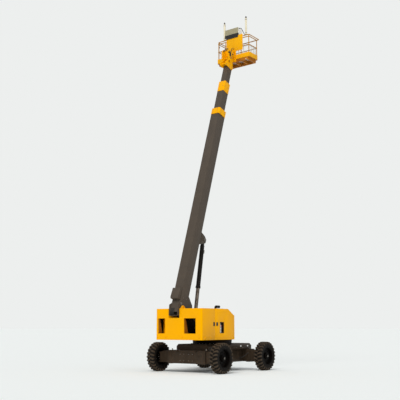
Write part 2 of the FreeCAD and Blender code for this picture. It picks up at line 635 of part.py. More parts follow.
# ---------------------------------------------------------------- boom
def make_base_section():
    """Base tube with pivot ears at its tail and the lift cylinder's lug under it."""
    tube = square_tube("base_tube", "-base_tail", "base_tip+base_tail", "base_width",
                       "base_depth", "base_wall")
    low = "boom_axis_height-base_depth/2"
    top = "boom_axis_height+base_depth/2"
    ear = [("506", low), ("252", "-67"), ("120", "-120"), ("-70", "-120"), ("-130", "0"),
           ("-tail_reach+80", low + "+20"), ("-tail_reach", top + "+10"), ("0", top + "+120"),
           ("110", top)]
    ears = [plate("pivot_ear_" + tag, ear, "ear_thick",
                  at=("0", "%s(base_width/2+ear_thick/2)" % sign, "0"))
            for tag, sign in (("left", ""), ("right", "-"))]
    cover = plate("tail_cover", [("-tail_reach+80", low + "+20"), ("-tail_reach+95", low + "+20"),
                                 ("-tail_reach+15", top + "+10"), ("-tail_reach", top + "+10")],
                  "base_width")
    boss = sided_bar("pivot_boss", "riser_crown-20", "base_width",
                     ("0", "-base_width/2", "0"), 16)
    web = block("pivot_web", ("-40", "-base_width/2", "0"), ("80", "base_width", low + "+4"))
    spread = "(eye_width/2+eye_gap+lug_plate/2)"
    x, z = "cyl_head_x", "cyl_head_z"
    lug = [(x + "-400", low + "+2"), (x + "-120", z + "-110"), (x + "+40", z + "-125"),
           (x + "+150", z + "+20"), (x + "+260", low + "+2")]
    lugs = [plate("head_lug_" + tag, lug, "lug_plate", at=("0", sign + spread, "0"))
            for tag, sign in (("left", ""), ("right", "-"))]
    bosses = [round_bar("head_boss_" + tag, "1.4*cyl_pin_radius", "lug_plate",
                        (x, start, z), axis="y")
              for tag, start in (("left", "eye_width/2+eye_gap+lug_plate"),
                                 ("right", "-eye_width/2-eye_gap-2*lug_plate"))]
    pin = round_bar("head_pin", "cyl_pin_radius", "eye_width+2*eye_gap+4*lug_plate",
                    (x, "-eye_width/2-eye_gap-2*lug_plate", z), axis="y")
    body = fused("base_weldment", [tube, cover, boss, web, pin] + ears + lugs + bosses)
    bore = round_bar("pivot_bore", "pivot_pin_radius+pin_play", "base_width+4*ear_thick",
                     ("0", "-base_width/2-2*ear_thick", "0"), axis="y")
    keep(cut("base_machined", body, [bore]), "boom_base_section", BOOM)


def collar_body(name, start, length, half_width, half_depth, chamfer):
    """An eight-sided block round the boom's axis, starting at a given x."""
    side, edge = half_width, "%s-%s" % (half_width, chamfer)
    top, rim = half_depth, "(%s-%s)" % (half_depth, chamfer)
    corners = [("-" + side, "-" + rim), ("-(%s)" % edge, "-" + top), (edge, "-" + top),
               (side, "-" + rim), (side, rim), (edge, top), ("-(%s)" % edge, top),
               ("-" + side, rim)]
    return plate(name, corners, length,
                 at=("%s+(%s)/2" % (start, length), "0", "boom_axis_height"), role="YZ_Plane")


def make_base_collar():
    """Front collar of the base section, with the lip that carries its slide pads."""
    start = "base_tip-base_collar_length"
    outer = collar_body("collar_outer", start, "base_collar_length+20",
                        "(base_width/2+base_collar_wall)", "(base_depth/2+base_collar_wall)",
                        "collar_chamfer")
    seat = block("collar_seat", (start + "-10", "-base_width/2",
                                 "boom_axis_height-base_depth/2"),
                 ("base_collar_length+10", "base_width", "base_depth"))
    mouth = block("collar_mouth", ("base_tip-10", "-mid_width/2-slide_gap",
                                   "boom_axis_height-mid_depth/2-slide_gap"),
                  ("40", "mid_width+2*slide_gap", "mid_depth+2*slide_gap"))
    keep(cut("collar_machined", outer, [seat, mouth]), "base_collar", BOOM)


def make_hose_box():
    """Cover over the hoses where they enter the boom's tail, on its upper side."""
    top = "boom_axis_height+base_depth/2"
    cover = plate("hose_cover", [("245", top), ("705", top), ("690", top + "+150"),
                                 ("300", top + "+185"), ("245", top + "+150")],
                  "base_width-20")
    keep(carried(cover), "hose_box", BOOM)


def make_mid_section():
    """Mid tube, with pads at its tail that run inside the base section."""
    tube = square_tube("mid_tube", "mid_tail", "mid_tip-mid_tail", "mid_width", "mid_depth",
                       "mid_wall")
    keep(fused("mid_assembly", [tube] + tail_pads("mid", "base")), "boom_mid_section", BOOM)


def tail_pads(inner, outer):
    """Wear pads round the tail of an inner section, clear of the outer one by the slide gap."""
    pads = []
    start = inner + "_tail+40"
    room_y = "(%s_width/2-%s_wall-slide_gap-%s_width/2)" % (outer, outer, inner)
    room_z = "(%s_depth/2-%s_wall-slide_gap-%s_depth/2)" % (outer, outer, inner)
    for sign in ("", "-"):
        tag = inner + ("_plus" if sign == "" else "_minus")
        y_low = "%s_width/2" % inner if sign == "" else "-%s_width/2-%s" % (inner, room_y)
        z_low = ("boom_axis_height+%s_depth/2" % inner if sign == ""
                 else "boom_axis_height-%s_depth/2-%s" % (inner, room_z))
        pads.append(block(tag + "_side_pad", (start, y_low,
                                              "boom_axis_height-%s_depth/4" % inner),
                          ("160", room_y, "%s_depth/2" % inner)))
        pads.append(block(tag + "_face_pad", (start, "-%s_width/4" % inner, z_low),
                          ("160", "%s_width/2" % inner, room_z)))
    return pads


def make_mid_collar():
    """Front collar of the mid section."""
    start = "mid_tip-mid_collar_length"
    outer = collar_body("mid_collar_outer", start, "mid_collar_length+20",
                        "(mid_width/2+mid_collar_wall)", "(mid_depth/2+mid_collar_wall)",
                        "mid_collar_chamfer")
    seat = block("mid_collar_seat", (start + "-10", "-mid_width/2",
                                     "boom_axis_height-mid_depth/2"),
                 ("mid_collar_length+10", "mid_width", "mid_depth"))
    mouth = block("mid_collar_mouth", ("mid_tip-10", "-fly_width/2-slide_gap",
                                       "boom_axis_height-fly_depth/2-slide_gap"),
                  ("40", "fly_width+2*slide_gap", "fly_depth+2*slide_gap"))
    keep(cut("mid_collar_machined", outer, [seat, mouth]), "mid_collar", BOOM)


def make_fly_section():
    tube = square_tube("fly_tube", "fly_tail", "fly_tip-fly_tail", "fly_width", "fly_depth",
                       "fly_wall")
    keep(fused("fly_assembly", [tube] + tail_pads("fly", "mid")), "boom_fly_section", BOOM)


def make_boom_head():
    """Two cheek plates on the fly's tip that carry the levelling pin, with a closing nose."""
    low = "boom_axis_height-fly_depth/2"
    top = "boom_axis_height+fly_depth/2"
    cheek = [("fly_tip-165", low), ("fly_tip-96", low + "-40"), ("level_x+40", "level_z-170"),
             ("level_x+75", "level_z-30"), ("level_x+30", "level_z+75"),
             ("level_x-60", "level_z+80"), ("fly_tip-80", top + "+270"),
             ("fly_tip-165", top + "+240")]
    cheeks = [plate("head_cheek_" + tag, cheek, "head_plate",
                    at=("0", "%s(fly_width/2+head_plate/2)" % sign, "0"))
              for tag, sign in (("left", ""), ("right", "-"))]
    nose = block("head_nose", ("fly_tip+1", "-fly_width/2", low + "+25"),
                 ("60", "fly_width", "fly_depth-25"))
    tie = block("head_tie", ("fly_tip-60", "-fly_width/2", top + "+2"),
                ("40", "fly_width", "150"))
    pin = round_bar("level_pin", "level_pin_radius", "fly_width+2*head_plate+4*bracket_plate",
                    ("level_x", "-fly_width/2-head_plate-2*bracket_plate", "level_z"), axis="y")
    keep(fused("head_weldment", cheeks + [nose, tie, pin]), "boom_head", BOOM)


# ---------------------------------------------------------------- lift cylinder
def make_cylinder():
    """Barrel hung from the boom's lugs; its own +x runs from the head pin to the foot."""
    eye = round_bar("barrel_eye", "eye_radius", "eye_width", ("0", "-eye_width/2", "0"),
                    axis="y")
    neck = block("barrel_neck_block", ("0", "-eye_width/2", "-neck_depth/2"),
                 ("barrel_neck+barrel_end/2", "eye_width", "neck_depth"))
    tube = round_bar("barrel_tube", "barrel_radius", "barrel_length-barrel_neck",
                     ("barrel_neck", "0", "0"), axis="x")
    gland = round_bar("barrel_gland", "barrel_radius+10", "90", ("barrel_length-90", "0", "0"),
                      axis="x")
    pin_hole = round_bar("barrel_pin_hole", "cyl_pin_radius+pin_play", "eye_width+20",
                         ("0", "-eye_width/2-10", "0"), axis="y")
    bore = round_bar("barrel_bore", "bore_radius", "barrel_length-90-barrel_neck-barrel_end",
                     ("barrel_neck+barrel_end", "0", "0"), axis="x")
    mouth = round_bar("barrel_mouth", "rod_radius+pin_play", "200",
                      ("barrel_length-150", "0", "0"), axis="x")
    solid = fused("barrel_solid", [eye, neck, tube, gland])
    keep(cut("barrel_machined", solid, [pin_hole, bore, mouth]), "lift_cylinder_barrel",
         CYLINDER)


def make_cylinder_rod():
    """Rod that ends in a blind eye between the upper frame's lugs."""
    length = CYL_LINE.Length
    rod = doc.addObject("Part::Cylinder", "rod_bar")
    bind(rod, Radius="rod_radius", Height="%.3f-rod_neck-rod_root" % length)
    rod.Placement = FreeCAD.Placement(vec(size("rod_root"), 0, 0), turn((0, 1, 0), 90))
    neck = block("rod_neck_block", ("%.3f-rod_neck-10" % length, "-eye_width/2",
                                    "-neck_depth/2"),
                 ("rod_neck+10", "eye_width", "neck_depth"))
    eye = round_bar("rod_eye", "eye_radius", "eye_width",
                    ("%.3f" % length, "-eye_width/2", "0"), axis="y")
    keep(fused("rod_welded", [rod, neck, eye]), "lift_cylinder_rod", CYLINDER)


# ---------------------------------------------------------------- levelling bracket and rotator
CLAMP_BACK = "(rotator_reach+cage_setback)"
CAGE_REAR = "(%s+clamp_plate)" % CLAMP_BACK
CAGE_FRONT = "(%s+cage_depth)" % CAGE_REAR
CAGE_TOP = "(cage_low+cage_height)"
RAIL_REAR = "(%s+kick_thick+rail_radius)" % CAGE_REAR
RAIL_FRONT = "(%s-kick_thick-rail_radius)" % CAGE_FRONT
RAIL_SIDE = "(cage_width/2-kick_thick-rail_radius)"
FLOOR_TOP = "(floor_low+floor_depth)"
TOP_RAIL = "(%s-rail_radius)" % CAGE_TOP
RING_RAIL = "(%s-ring_drop)" % TOP_RAIL
MID_RAIL = "(cage_low+mid_rail_height)"
RAIL_SIZE = "rail_radius/cos(22.5)"


def make_level_bracket():
    """Two cheeks on the levelling pin that carry the upright rotary actuator."""
    reach, low = "rotator_reach", "rotator_low"
    top = low + "+rotator_height"
    cheek = [("-195", "-150"), ("-150", "-245"), ("-60", "-245"), ("60", "-130"),
             (reach + "-125", low + "+8"), (reach, low + "+8"), (reach, top + "-8"),
             ("-100", top + "-8"), ("-195", "300")]
    spread = "(fly_width/2+head_plate+bracket_gap+bracket_plate/2)"
    cheeks = [plate("bracket_cheek_" + tag, cheek, "bracket_plate",
                    at=("0", sign + spread, "0"))
              for tag, sign in (("left", ""), ("right", "-"))]
    back = block("bracket_web", (reach + "-rotator_radius-12", "-" + spread, low + "+8"),
                 ("32", "2*" + spread, "rotator_height-16"))
    drum = round_bar("rotator_drum", "rotator_radius", "rotator_height", (reach, "0", low))
    body = fused("bracket_weldment", cheeks + [back, drum])
    hole = round_bar("bracket_bore", "level_pin_radius+pin_play", "4*" + spread,
                     ("0", "-2*" + spread, "0"), axis="y")
    keep(cut("bracket_machined", body, [hole]), "level_bracket", LEVEL)


def make_platform_clamp():
    """Top and bottom clamp plates on the rotator, welded to the platform's back plate."""
    reach = "rotator_reach"
    pieces = []
    for tag, low in (("bottom", "rotator_low-clamp_gap-clamp_plate"),
                     ("top", "rotator_low+rotator_height+clamp_gap")):
        pieces.append(round_bar("clamp_%s_disc" % tag, "rotator_radius-5", "clamp_plate",
                                (reach, "0", low)))
        pieces.append(block("clamp_%s_arm" % tag, (reach, "-rotator_radius+5", low),
                            ("cage_setback+2", "2*rotator_radius-10", "clamp_plate")))
    pieces.append(block("clamp_back", (CLAMP_BACK, "-rotator_radius-60", "floor_low+20"),
                        ("clamp_plate", "2*rotator_radius+120",
                         "rotator_low+rotator_height+clamp_gap+clamp_plate-floor_low-20")))
    keep(fused("clamp_weldment", pieces), "platform_clamp", LEVEL)


# ---------------------------------------------------------------- platform
def make_platform_floor():
    """Floor tray on a deeper frame of channel bars with open bays, under a thin grating."""
    skin = "kick_thick"
    low_x, low_y = CAGE_REAR + "+" + skin, "-cage_width/2+" + skin
    span_x, span_y = "cage_depth-2*" + skin, "cage_width-2*" + skin
    rim = block("floor_rim", (low_x, low_y, "cage_low-20"),
                (span_x, span_y, "floor_low+floor_depth-cage_low+20"))
    opening = block("floor_opening", (low_x + "+floor_bar+40", low_y + "+floor_bar+floor_inset",
                                      "cage_low-30"),
                    (span_x + "-2*floor_bar-80", span_y + "-2*floor_bar-2*floor_inset",
                     "floor_depth+60"))
    inset_y = low_y + "+floor_inset"
    inset_span = "(%s-2*floor_inset)" % span_y
    under = block("under_frame", (CAGE_REAR, inset_y, "floor_low"),
                  (span_x, inset_span, "cage_low-10-floor_low"))
    hollow = block("under_hollow", (CAGE_REAR + "+floor_bar", inset_y + "+floor_bar",
                                    "floor_low-10"),
                   (span_x + "-2*floor_bar", inset_span + "-2*floor_bar", "floor_depth"))
    frame = fused("floor_ring", [cut("floor_tray", rim, [opening]),
                                 cut("under_ring", under, [hollow])])
    bars = []
    bays = 4
    for number in range(1, bays):
        y = "%s+(%s-floor_bar)*%d/%d" % (inset_y, inset_span, number, bays)
        bars.append(block("floor_cross_%d" % number, (low_x, y, "floor_low+20"),
                          (span_x, "floor_bar", "floor_depth-22")))
    keep(fused("floor_weldment", [frame] + bars), "platform_floor", LEVEL)
    grating = block("grating_sheet", (low_x + "+rail_radius*2+6", low_y + "+rail_radius*2+6",
                                      FLOOR_TOP),
                    (span_x + "-4*rail_radius-12", span_y + "-4*rail_radius-12", "6"))
    rows, columns = 3, 8
    slots = []
    for row in range(rows):
        for column in range(columns):
            x = "%s+70+(%s-140)*%d/%d" % (low_x, span_x, row, rows)
            y = "%s+70+(%s-140)*%d/%d" % (low_y, span_y, column, columns)
            slots.append(block("slot_%d_%d" % (row, column), (x + "+12", y + "+12",
                                                              FLOOR_TOP + "-5"),
                               ("(%s-140)/%d-24" % (span_x, rows),
                                "(%s-140)/%d-24" % (span_y, columns), "20")))
    keep(cut("grating_punched", grating, slots), "floor_grating", LEVEL)


def bar_between(name, start, end, axis):
    """An eight-sided rail from one point to another along one axis, flats outward."""
    index = "xyz".index(axis)
    return sided_bar(name, RAIL_SIZE, "%s-(%s)" % (end, start[index]), start, 8, axis=axis,
                     roll=22.5)


def flare_strut(name, side):
    """A sloping rail from the lower ring's front corner up to the flared top rail."""
    run, rise = size("rail_flare"), size("ring_drop")
    strut = doc.addObject("Part::Prism", name)
    strut.Polygon = 8
    bind(strut, Circumradius=RAIL_SIZE, Height="sqrt(rail_flare^2+ring_drop^2)")
    strut.Placement.Rotation = turn((0, 1, 0), math.degrees(math.atan2(run, rise)))
    return move_by(strut, (RAIL_FRONT, side, RING_RAIL))


def make_guard_rails():
    """Flared top ring, a second ring below it, middle rails and uprights; gate at the left."""
    side, top, flare = RAIL_SIDE, TOP_RAIL, "(%s+rail_flare)" % RAIL_FRONT
    bars = [bar_between("front_top_rail", (flare, "-%s-rail_radius" % side, top),
                        side + "+rail_radius", "y")]
    for tag, z in (("top", top), ("ring", RING_RAIL), ("mid", MID_RAIL)):
        bars.append(bar_between("rear_%s_rail" % tag, (RAIL_REAR, "-" + side, z), side, "y"))
        bars.append(bar_between("right_%s_rail" % tag, (RAIL_REAR, "-" + side, z),
                                flare if tag == "top" else RAIL_FRONT, "x"))
        if tag != "top":
            bars.append(bar_between("front_%s_rail" % tag, (RAIL_FRONT, "-" + side, z), side,
                                    "y"))
    bars.append(bar_between("left_top_rail", (RAIL_REAR, side, top), flare, "x"))
    bars += [flare_strut("flare_strut_left", side), flare_strut("flare_strut_right", "-" + side)]
    uprights = [(RAIL_REAR, "-" + side, top), (RAIL_REAR, side, top),
                (RAIL_FRONT, "-" + side, RING_RAIL), (RAIL_FRONT, side, RING_RAIL),
                (RAIL_FRONT, "0", RING_RAIL), (RAIL_REAR, "-0.5*" + side, RING_RAIL),
                (RAIL_REAR, "0.5*" + side, RING_RAIL)]
    for number, (x, y, z) in enumerate(uprights):
        bars.append(bar_between("upright_%d" % number, (x, y, FLOOR_TOP), z, "z"))
    keep(fused("rails_welded", bars), "guard_rails", LEVEL)


def make_kick_plates():
    """Toe board round three sides, standing outside the uprights."""
    low = "cage_low"
    outer = block("kick_outer", (CAGE_REAR, "-cage_width/2", low),
                  ("cage_depth", "cage_width", "kick_height"))
    inner = block("kick_inner", (CAGE_REAR + "+kick_thick", "-cage_width/2+kick_thick",
                                 low + "-10"),
                  ("cage_depth-2*kick_thick", "cage_width+20", "kick_height+20"))
    keep(cut("kick_folded", outer, [inner]), "kick_plates", LEVEL)


def mesh_sheet(name, axis, low, length, height, bays):
    """A thin infill sheet with a row of openings, standing along x or y."""
    thick = "mesh_thick"
    spans = (length, thick, height) if axis == "x" else (thick, length, height)
    sheet_block = block(name + "_sheet", low, spans)
    holes = []
    for bay in range(bays):
        start = "%s*%d/%d+14" % ("(%s)" % length, bay, bays)
        span = "%s/%d-28" % ("(%s)" % length, bays)
        if axis == "x":
            spot, hole = ("%s+%s" % (low[0], start), low[1] + "-5"), (span, thick + "+10")
        else:
            spot, hole = (low[0] + "-5", "%s+%s" % (low[1], start)), (thick + "+10", span)
        holes.append(block("%s_bay_%d" % (name, bay), spot + (low[2] + "+14",),
                           hole + ("%s-28" % height,)))
    return cut(name + "_punched", sheet_block, holes)


def make_mesh_panels():
    """Infill between the toe board and the middle rail on the front, right and rear."""
    low = "cage_low+kick_height+2"
    height = "(%s-rail_radius-2-(%s))" % (MID_RAIL, low)
    side = "(%s-rail_radius-2)" % RAIL_SIDE
    front = mesh_sheet("mesh_front", "y", (RAIL_FRONT + "-mesh_thick/2-rail_radius-4",
                                           "-" + side, low), "2*" + side, height, 6)
    right = mesh_sheet("mesh_right", "x", (RAIL_REAR + "+rail_radius+4",
                                           "-%s+rail_radius" % RAIL_SIDE, low),
                       "%s-%s-2*rail_radius-30" % (RAIL_FRONT, RAIL_REAR), height, 3)
    rear = mesh_sheet("mesh_rear", "y", (RAIL_REAR + "+rail_radius", "-" + side, low),
                      "2*%s" % side, height, 6)
    keep(fused("mesh_set", [front, right, rear]), "mesh_panels", LEVEL)


def make_gate():
    """Side gate between the left corner uprights, hinged at the front."""
    side, top = RAIL_SIDE, RING_RAIL
    start = "(%s+2*rail_radius+gate_gap)" % RAIL_REAR
    end = "(%s-2*rail_radius-gate_gap)" % RAIL_FRONT
    low = "%s+40+rail_radius" % FLOOR_TOP
    bars = [bar_between("gate_rail_%d" % number, (start, side, z), end, "x")
            for number, z in enumerate((top, MID_RAIL, low))]
    bars += [bar_between("gate_upright_%d" % number, (x, side, low + "-rail_radius"),
                         top + "+rail_radius", "z")
             for number, x in enumerate((start, end))]
    bars += [round_bar("gate_pin_" + tag, "0.6*rail_radius", "38", (end, side, z))
             for tag, z in (("top", top + "+rail_radius-8"), ("foot", low + "-rail_radius-30"))]
    toe = block("gate_toe", (start, side + "+rail_radius-2", low + "-rail_radius"),
                ("%s-%s" % (end, start), "kick_thick", "cage_low+kick_height-%s-60" % FLOOR_TOP))
    keep(fused("gate_welded", bars + [toe]), "platform_gate", LEVEL)


def make_console():
    """Control console over the rear rail, on two brackets, and the back panel below it."""
    low = "%s+console_lift" % CAGE_TOP
    y = "console_shift-console_width/2"
    box = plate("console_shell", [(CAGE_REAR + "-20", low), (CAGE_REAR + "+console_depth", low),
                                  (CAGE_REAR + "+console_depth", low + "+0.7*console_height"),
                                  (CAGE_REAR + "+0.6*console_depth", low + "+console_height"),
                                  (CAGE_REAR + "-20", low + "+console_height")],
                "console_width", at=("0", "console_shift", "0"))
    wall = "console_wall"
    room = plate("console_room",
                 [(CAGE_REAR + "-20+" + wall, low + "-10"),
                  (CAGE_REAR + "+console_depth-" + wall, low + "-10"),
                  (CAGE_REAR + "+console_depth-" + wall, low + "+0.7*console_height-" + wall),
                  (CAGE_REAR + "+0.6*console_depth-" + wall, low + "+console_height-" + wall),
                  (CAGE_REAR + "-20+" + wall, low + "+console_height-" + wall)],
                 "console_width-2*" + wall, at=("0", "console_shift", "0"))
    box = cut("console_case", box, [room])
    legs = [block("console_leg_%d" % number, (CAGE_REAR + "+5", y + offset, CAGE_TOP),
                  ("35", "40", "console_lift+console_height-%s+2" % wall))
            for number, offset in enumerate(("+60", "+console_width-100"))]
    keep(fused("console_assembly", [box] + legs), "control_console", LEVEL)
    panel = block("back_panel_sheet",
                  (CAGE_REAR + "+kick_thick-back_panel_thick",
                   "back_panel_shift-back_panel_width/2",
                   "rotator_low+rotator_height+clamp_gap+clamp_plate+5"),
                  ("back_panel_thick", "back_panel_width",
                   "%s+console_lift-(rotator_low+rotator_height+clamp_gap+clamp_plate+5)-3"
                   % CAGE_TOP))
    keep(carried(panel), "back_panel", LEVEL)


def make_posts():
    """Two upright posts on the rear rail, each with a dark cap."""
    posts, caps = [], []
    for tag, sign in (("left", "+"), ("right", "-")):
        y = "post_shift%spost_spread/2" % sign
        foot = block("post_foot_" + tag, (RAIL_REAR + "-20", y + "-60", CAGE_TOP),
                     ("60", "120", "10"))
        stem = round_bar("post_stem_" + tag, "post_radius", "post_height",
                         (RAIL_REAR, y, CAGE_TOP + "+10"))
        posts.append(fused("post_" + tag, [foot, stem]))
        caps.append(round_bar("post_cap_" + tag, "0.8*post_radius", "post_tip",
                              (RAIL_REAR, y, CAGE_TOP + "+10+post_height")))
    keep(fused("post_pair", posts), "guard_posts", LEVEL)
    keep(fused("post_caps_pair", caps), "post_caps", LEVEL)


# ---------------------------------------------------------------- build, check, write
def main():
    make_chassis()
    make_axle_box(1)
    make_axle_box(-1)
    make_slew_ring()
    make_corners()
    make_upper_frame()
    make_boom_pin()
    make_counterweight()
    make_hood(1)
    make_hood(-1)
    make_engine()
    make_exhaust()
    make_ground_controls()
    make_base_section()
    make_base_collar()
    make_hose_box()
    make_mid_section()
    make_mid_collar()
    make_fly_section()
    make_boom_head()
    make_cylinder()
    make_cylinder_rod()
    make_level_bracket()
    make_platform_clamp()
    make_platform_floor()
    make_guard_rails()
    make_kick_plates()
    make_mesh_panels()
    make_gate()
    make_console()
    make_posts()
    doc.recompute()
    for item in doc.Objects:
        if "Invalid" in item.State or "Error" in item.State:
            raise RuntimeError("%s failed: %s" % (item.Name, item.State))
    os.makedirs("parts", exist_ok=True)
    for item in PARTS:
        if item.Shape.isNull() or not item.Shape.isValid():
            raise RuntimeError("%s has no valid shape" % item.Label)
        item.Shape.exportStep("parts/%s.step" % item.Label)
    print("%d sub-parts written" % len(PARTS))


main()
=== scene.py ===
import math

import bmesh
import bpy
from bpy.props import FloatProperty, FloatVectorProperty, IntProperty, PointerProperty
from mathutils import Matrix, Vector


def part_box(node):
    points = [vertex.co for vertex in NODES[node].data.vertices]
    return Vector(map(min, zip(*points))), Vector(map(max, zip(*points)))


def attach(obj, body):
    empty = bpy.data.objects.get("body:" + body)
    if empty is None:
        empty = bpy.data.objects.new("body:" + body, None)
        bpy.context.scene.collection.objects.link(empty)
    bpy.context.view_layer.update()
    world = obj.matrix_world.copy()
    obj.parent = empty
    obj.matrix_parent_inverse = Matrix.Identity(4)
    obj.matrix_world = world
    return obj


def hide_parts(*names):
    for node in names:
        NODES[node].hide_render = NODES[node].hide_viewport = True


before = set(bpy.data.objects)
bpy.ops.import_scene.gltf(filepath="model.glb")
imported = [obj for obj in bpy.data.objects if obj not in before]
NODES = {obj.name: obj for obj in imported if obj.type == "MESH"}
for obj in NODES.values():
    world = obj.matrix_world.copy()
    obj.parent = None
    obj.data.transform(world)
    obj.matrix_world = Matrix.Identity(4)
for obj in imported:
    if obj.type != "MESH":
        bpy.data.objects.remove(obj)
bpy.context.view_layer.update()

bl_info = {
    "name": "Boom Lift Dressing",
    "version": (1, 0, 0),
    "blender": (4, 5, 0),
    "location": "3D View > Sidebar > Boom Lift",
    "description": "Wheels, covers, controls, finishes and studio for a telescopic boom lift",
    "category": "Object",
}

CORNERS = ("rear_left", "rear_right", "front_left", "front_right")


# ---------------------------------------------------------------- colour and small helpers
def linear(hex_text):
    """sRGB hex colour as the linear triple that shaders take."""
    values = [int(hex_text[k:k + 2], 16) / 255 for k in (1, 3, 5)]
    return tuple(v / 12.92 if v <= 0.04045 else ((v + 0.055) / 1.055) ** 2.4 for v in values)


def shade(colour):
    """Four values for a colour socket, from a hex code or from a setting's linear triple."""
    return (*(linear(colour) if isinstance(colour, str) else colour), 1)


def upright(at):
    """Matrix that stands a turned profile on a point, its length pointing up."""
    return Matrix.Translation(at) @ Matrix.Rotation(math.pi / 2, 4, "X")


def aimed(at, direction):
    """Matrix that starts a turned profile at a point and points it in a direction."""
    return Matrix.Translation(at) @ direction.to_track_quat("Y", "Z").to_matrix().to_4x4()


def box_of(node):
    """Both corners of a part's box."""
    low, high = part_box(node)
    return Vector(low), Vector(high)


def centre_of(node):
    """The middle of a part's box."""
    low, high = box_of(node)
    return (low + high) / 2


def new_object(name, mesh_or_curve, material, body, smooth_angle=None):
    """Links a piece, gives it its finish and lets it ride on a body."""
    piece = bpy.data.objects.new(name, mesh_or_curve)
    bpy.context.scene.collection.objects.link(piece)
    piece.data.materials.append(material)
    if smooth_angle is not None:
        smooth_by_angle(piece.data, smooth_angle)
    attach(piece, body)
    return piece


def smooth_by_angle(mesh, degrees):
    """Shades a mesh smooth, with the edges sharper than the angle kept."""
    mesh.polygons.foreach_set("use_smooth", [True] * len(mesh.polygons))
    mesh.set_sharp_from_angle(angle=math.radians(degrees))


def mesh_from(name, build):
    """A mesh that a function fills through bmesh, with its faces turned outwards."""
    bm = bmesh.new()
    build(bm)
    bmesh.ops.remove_doubles(bm, verts=bm.verts, dist=1e-6)
    bmesh.ops.recalc_face_normals(bm, faces=bm.faces)
    mesh = bpy.data.meshes.new(name)
    bm.to_mesh(mesh)
    bm.free()
    return mesh


def add_ring_surface(bm, profile, segments, place, closed_profile=True):
    """Turns a profile of (along, radius) about the local y axis, set down by a matrix."""
    rings = []
    for along, radius in profile:
        rings.append([bm.verts.new(place @ Vector((radius * math.sin(k * math.tau / segments),
                                                   along,
                                                   radius * math.cos(k * math.tau / segments))))
                      for k in range(segments)])
    last = len(rings) if closed_profile else len(rings) - 1
    for r in range(last):
        first, second = rings[r], rings[(r + 1) % len(rings)]
        for k in range(segments):
            n = (k + 1) % segments
            bm.faces.new((first[k], first[n], second[n], second[k]))
    if not closed_profile:
        bm.faces.new(rings[0])
        bm.faces.new(list(reversed(rings[-1])))


def add_stations(bm, stations):
    """Skins closed rings of equal length, one after another, and caps both ends."""
    rings = [[bm.verts.new(p) for p in station] for station in stations]
    count = len(rings[0])
    for first, second in zip(rings, rings[1:]):
        for k in range(count):
            n = (k + 1) % count
            bm.faces.new((first[k], first[n], second[n], second[k]))
    bm.faces.new(rings[0])
    bm.faces.new(list(reversed(rings[-1])))


def add_box(bm, low, high, bevel=0.0):
    """A box between two opposite corners, with its edges rounded off."""
    low, high = [Vector(map(pick, low, high)) for pick in (min, max)]
    made = bmesh.ops.create_cube(bm, size=1.0)
    for vert in made["verts"]:
        vert.co = Vector([low[i] + (vert.co[i] + 0.5) * (high[i] - low[i]) for i in range(3)])
    if bevel:
        edges = list({e for v in made["verts"] for e in v.link_edges})
        bmesh.ops.bevel(bm, geom=edges, offset=bevel, segments=2, affect="EDGES", profile=0.5)


def add_bolt(bm, at, normal, across, height):
    """A hexagon head with a chamfered top, standing on a face."""
    normal = Vector(normal).normalized()
    place = aimed(at, normal)
    radius = across / math.sqrt(3)
    add_ring_surface(bm, [(0, radius), (height * 0.8, radius), (height, radius * 0.82)], 6,
                     place, closed_profile=False)


def add_rod(bm, start, end, radius, sides=16, bevel=0.0):
    """A round bar between two points."""
    start, end = Vector(start), Vector(end)
    place = aimed(start, end - start)
    length = (end - start).length
    profile = [(0, radius - bevel), (bevel, radius), (length - bevel, radius),
               (length, radius - bevel)] if bevel else [(0, radius), (length, radius)]
    add_ring_surface(bm, profile, sides, place, closed_profile=False)


def add_disc(bm, at, normal, radius, thick, sides=32, edge=0.001):
    """A flat round plate on a face, with a small chamfer on its rim."""
    at, normal = Vector(at), Vector(normal).normalized()
    place = aimed(at, normal)
    add_ring_surface(bm, [(0, radius), (thick - edge, radius), (thick, radius - edge)], sides,
                     place, closed_profile=False)


def around(count, turn=0.0):
    """Evenly spread angles of a full circle, turned by a share of their step."""
    return [(k + turn) * math.tau / count for k in range(count)]


def add_pin_cap(bm, at, side, radius, thick, across, height):
    """A pin's round end cap on a side face, with the bolt that holds it."""
    add_disc(bm, at, (0, side, 0), radius, thick, 32, 0.003)
    add_bolt(bm, at + Vector((0, side * thick, 0)), (0, side, 0), across, height)


def piece(name, build, finish, body, slot, angle=None):
    """One mesh piece: built, given its finish and riding on its body; its slot is not used."""
    made = new_object(name, mesh_from(name, build), MATERIALS[finish], body, angle)
    return made


def hose(name, points, radius, body, finish="hose_rubber"):
    """One hose on a smooth spline, led by its control points and riding on its body."""
    curve = bpy.data.curves.new(name, "CURVE")
    curve.dimensions = "3D"
    spline = curve.splines.new("NURBS")
    spline.points.add(len(points) - 1)
    for point, at in zip(spline.points, points):
        point.co = (*at, 1.0)
    spline.order_u = 3
    spline.use_endpoint_u = True
    spline.resolution_u = 6
    curve.bevel_depth = radius
    curve.bevel_resolution = 3
    curve.use_fill_caps = True
    made = new_object(name, curve, MATERIALS[finish], body)
    return made


def softened(node, body, finish, slot, width):
    """The frame's own part with its longer edges rounded, standing in that part's place."""
    source = NODES[node]

    def build(bm):
        bm.from_mesh(source.data)
        bm.transform(source.matrix_world)
        bmesh.ops.remove_doubles(bm, verts=bm.verts, dist=2e-5)
        bmesh.ops.dissolve_limit(bm, angle_limit=math.radians(1.0), verts=bm.verts,
                                 edges=bm.edges)
        edges = [e for e in bm.edges if len(e.link_faces) == 2 and e.calc_length() > 0.03
                 and e.calc_face_angle(0.0) > math.radians(25)]
        bmesh.ops.bevel(bm, geom=edges, offset=width, segments=2, affect="EDGES",
                        profile=0.5, clamp_overlap=True)
    made = piece(node + "_dressed", build, finish, body, slot, 40)
    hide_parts(node)
    return made


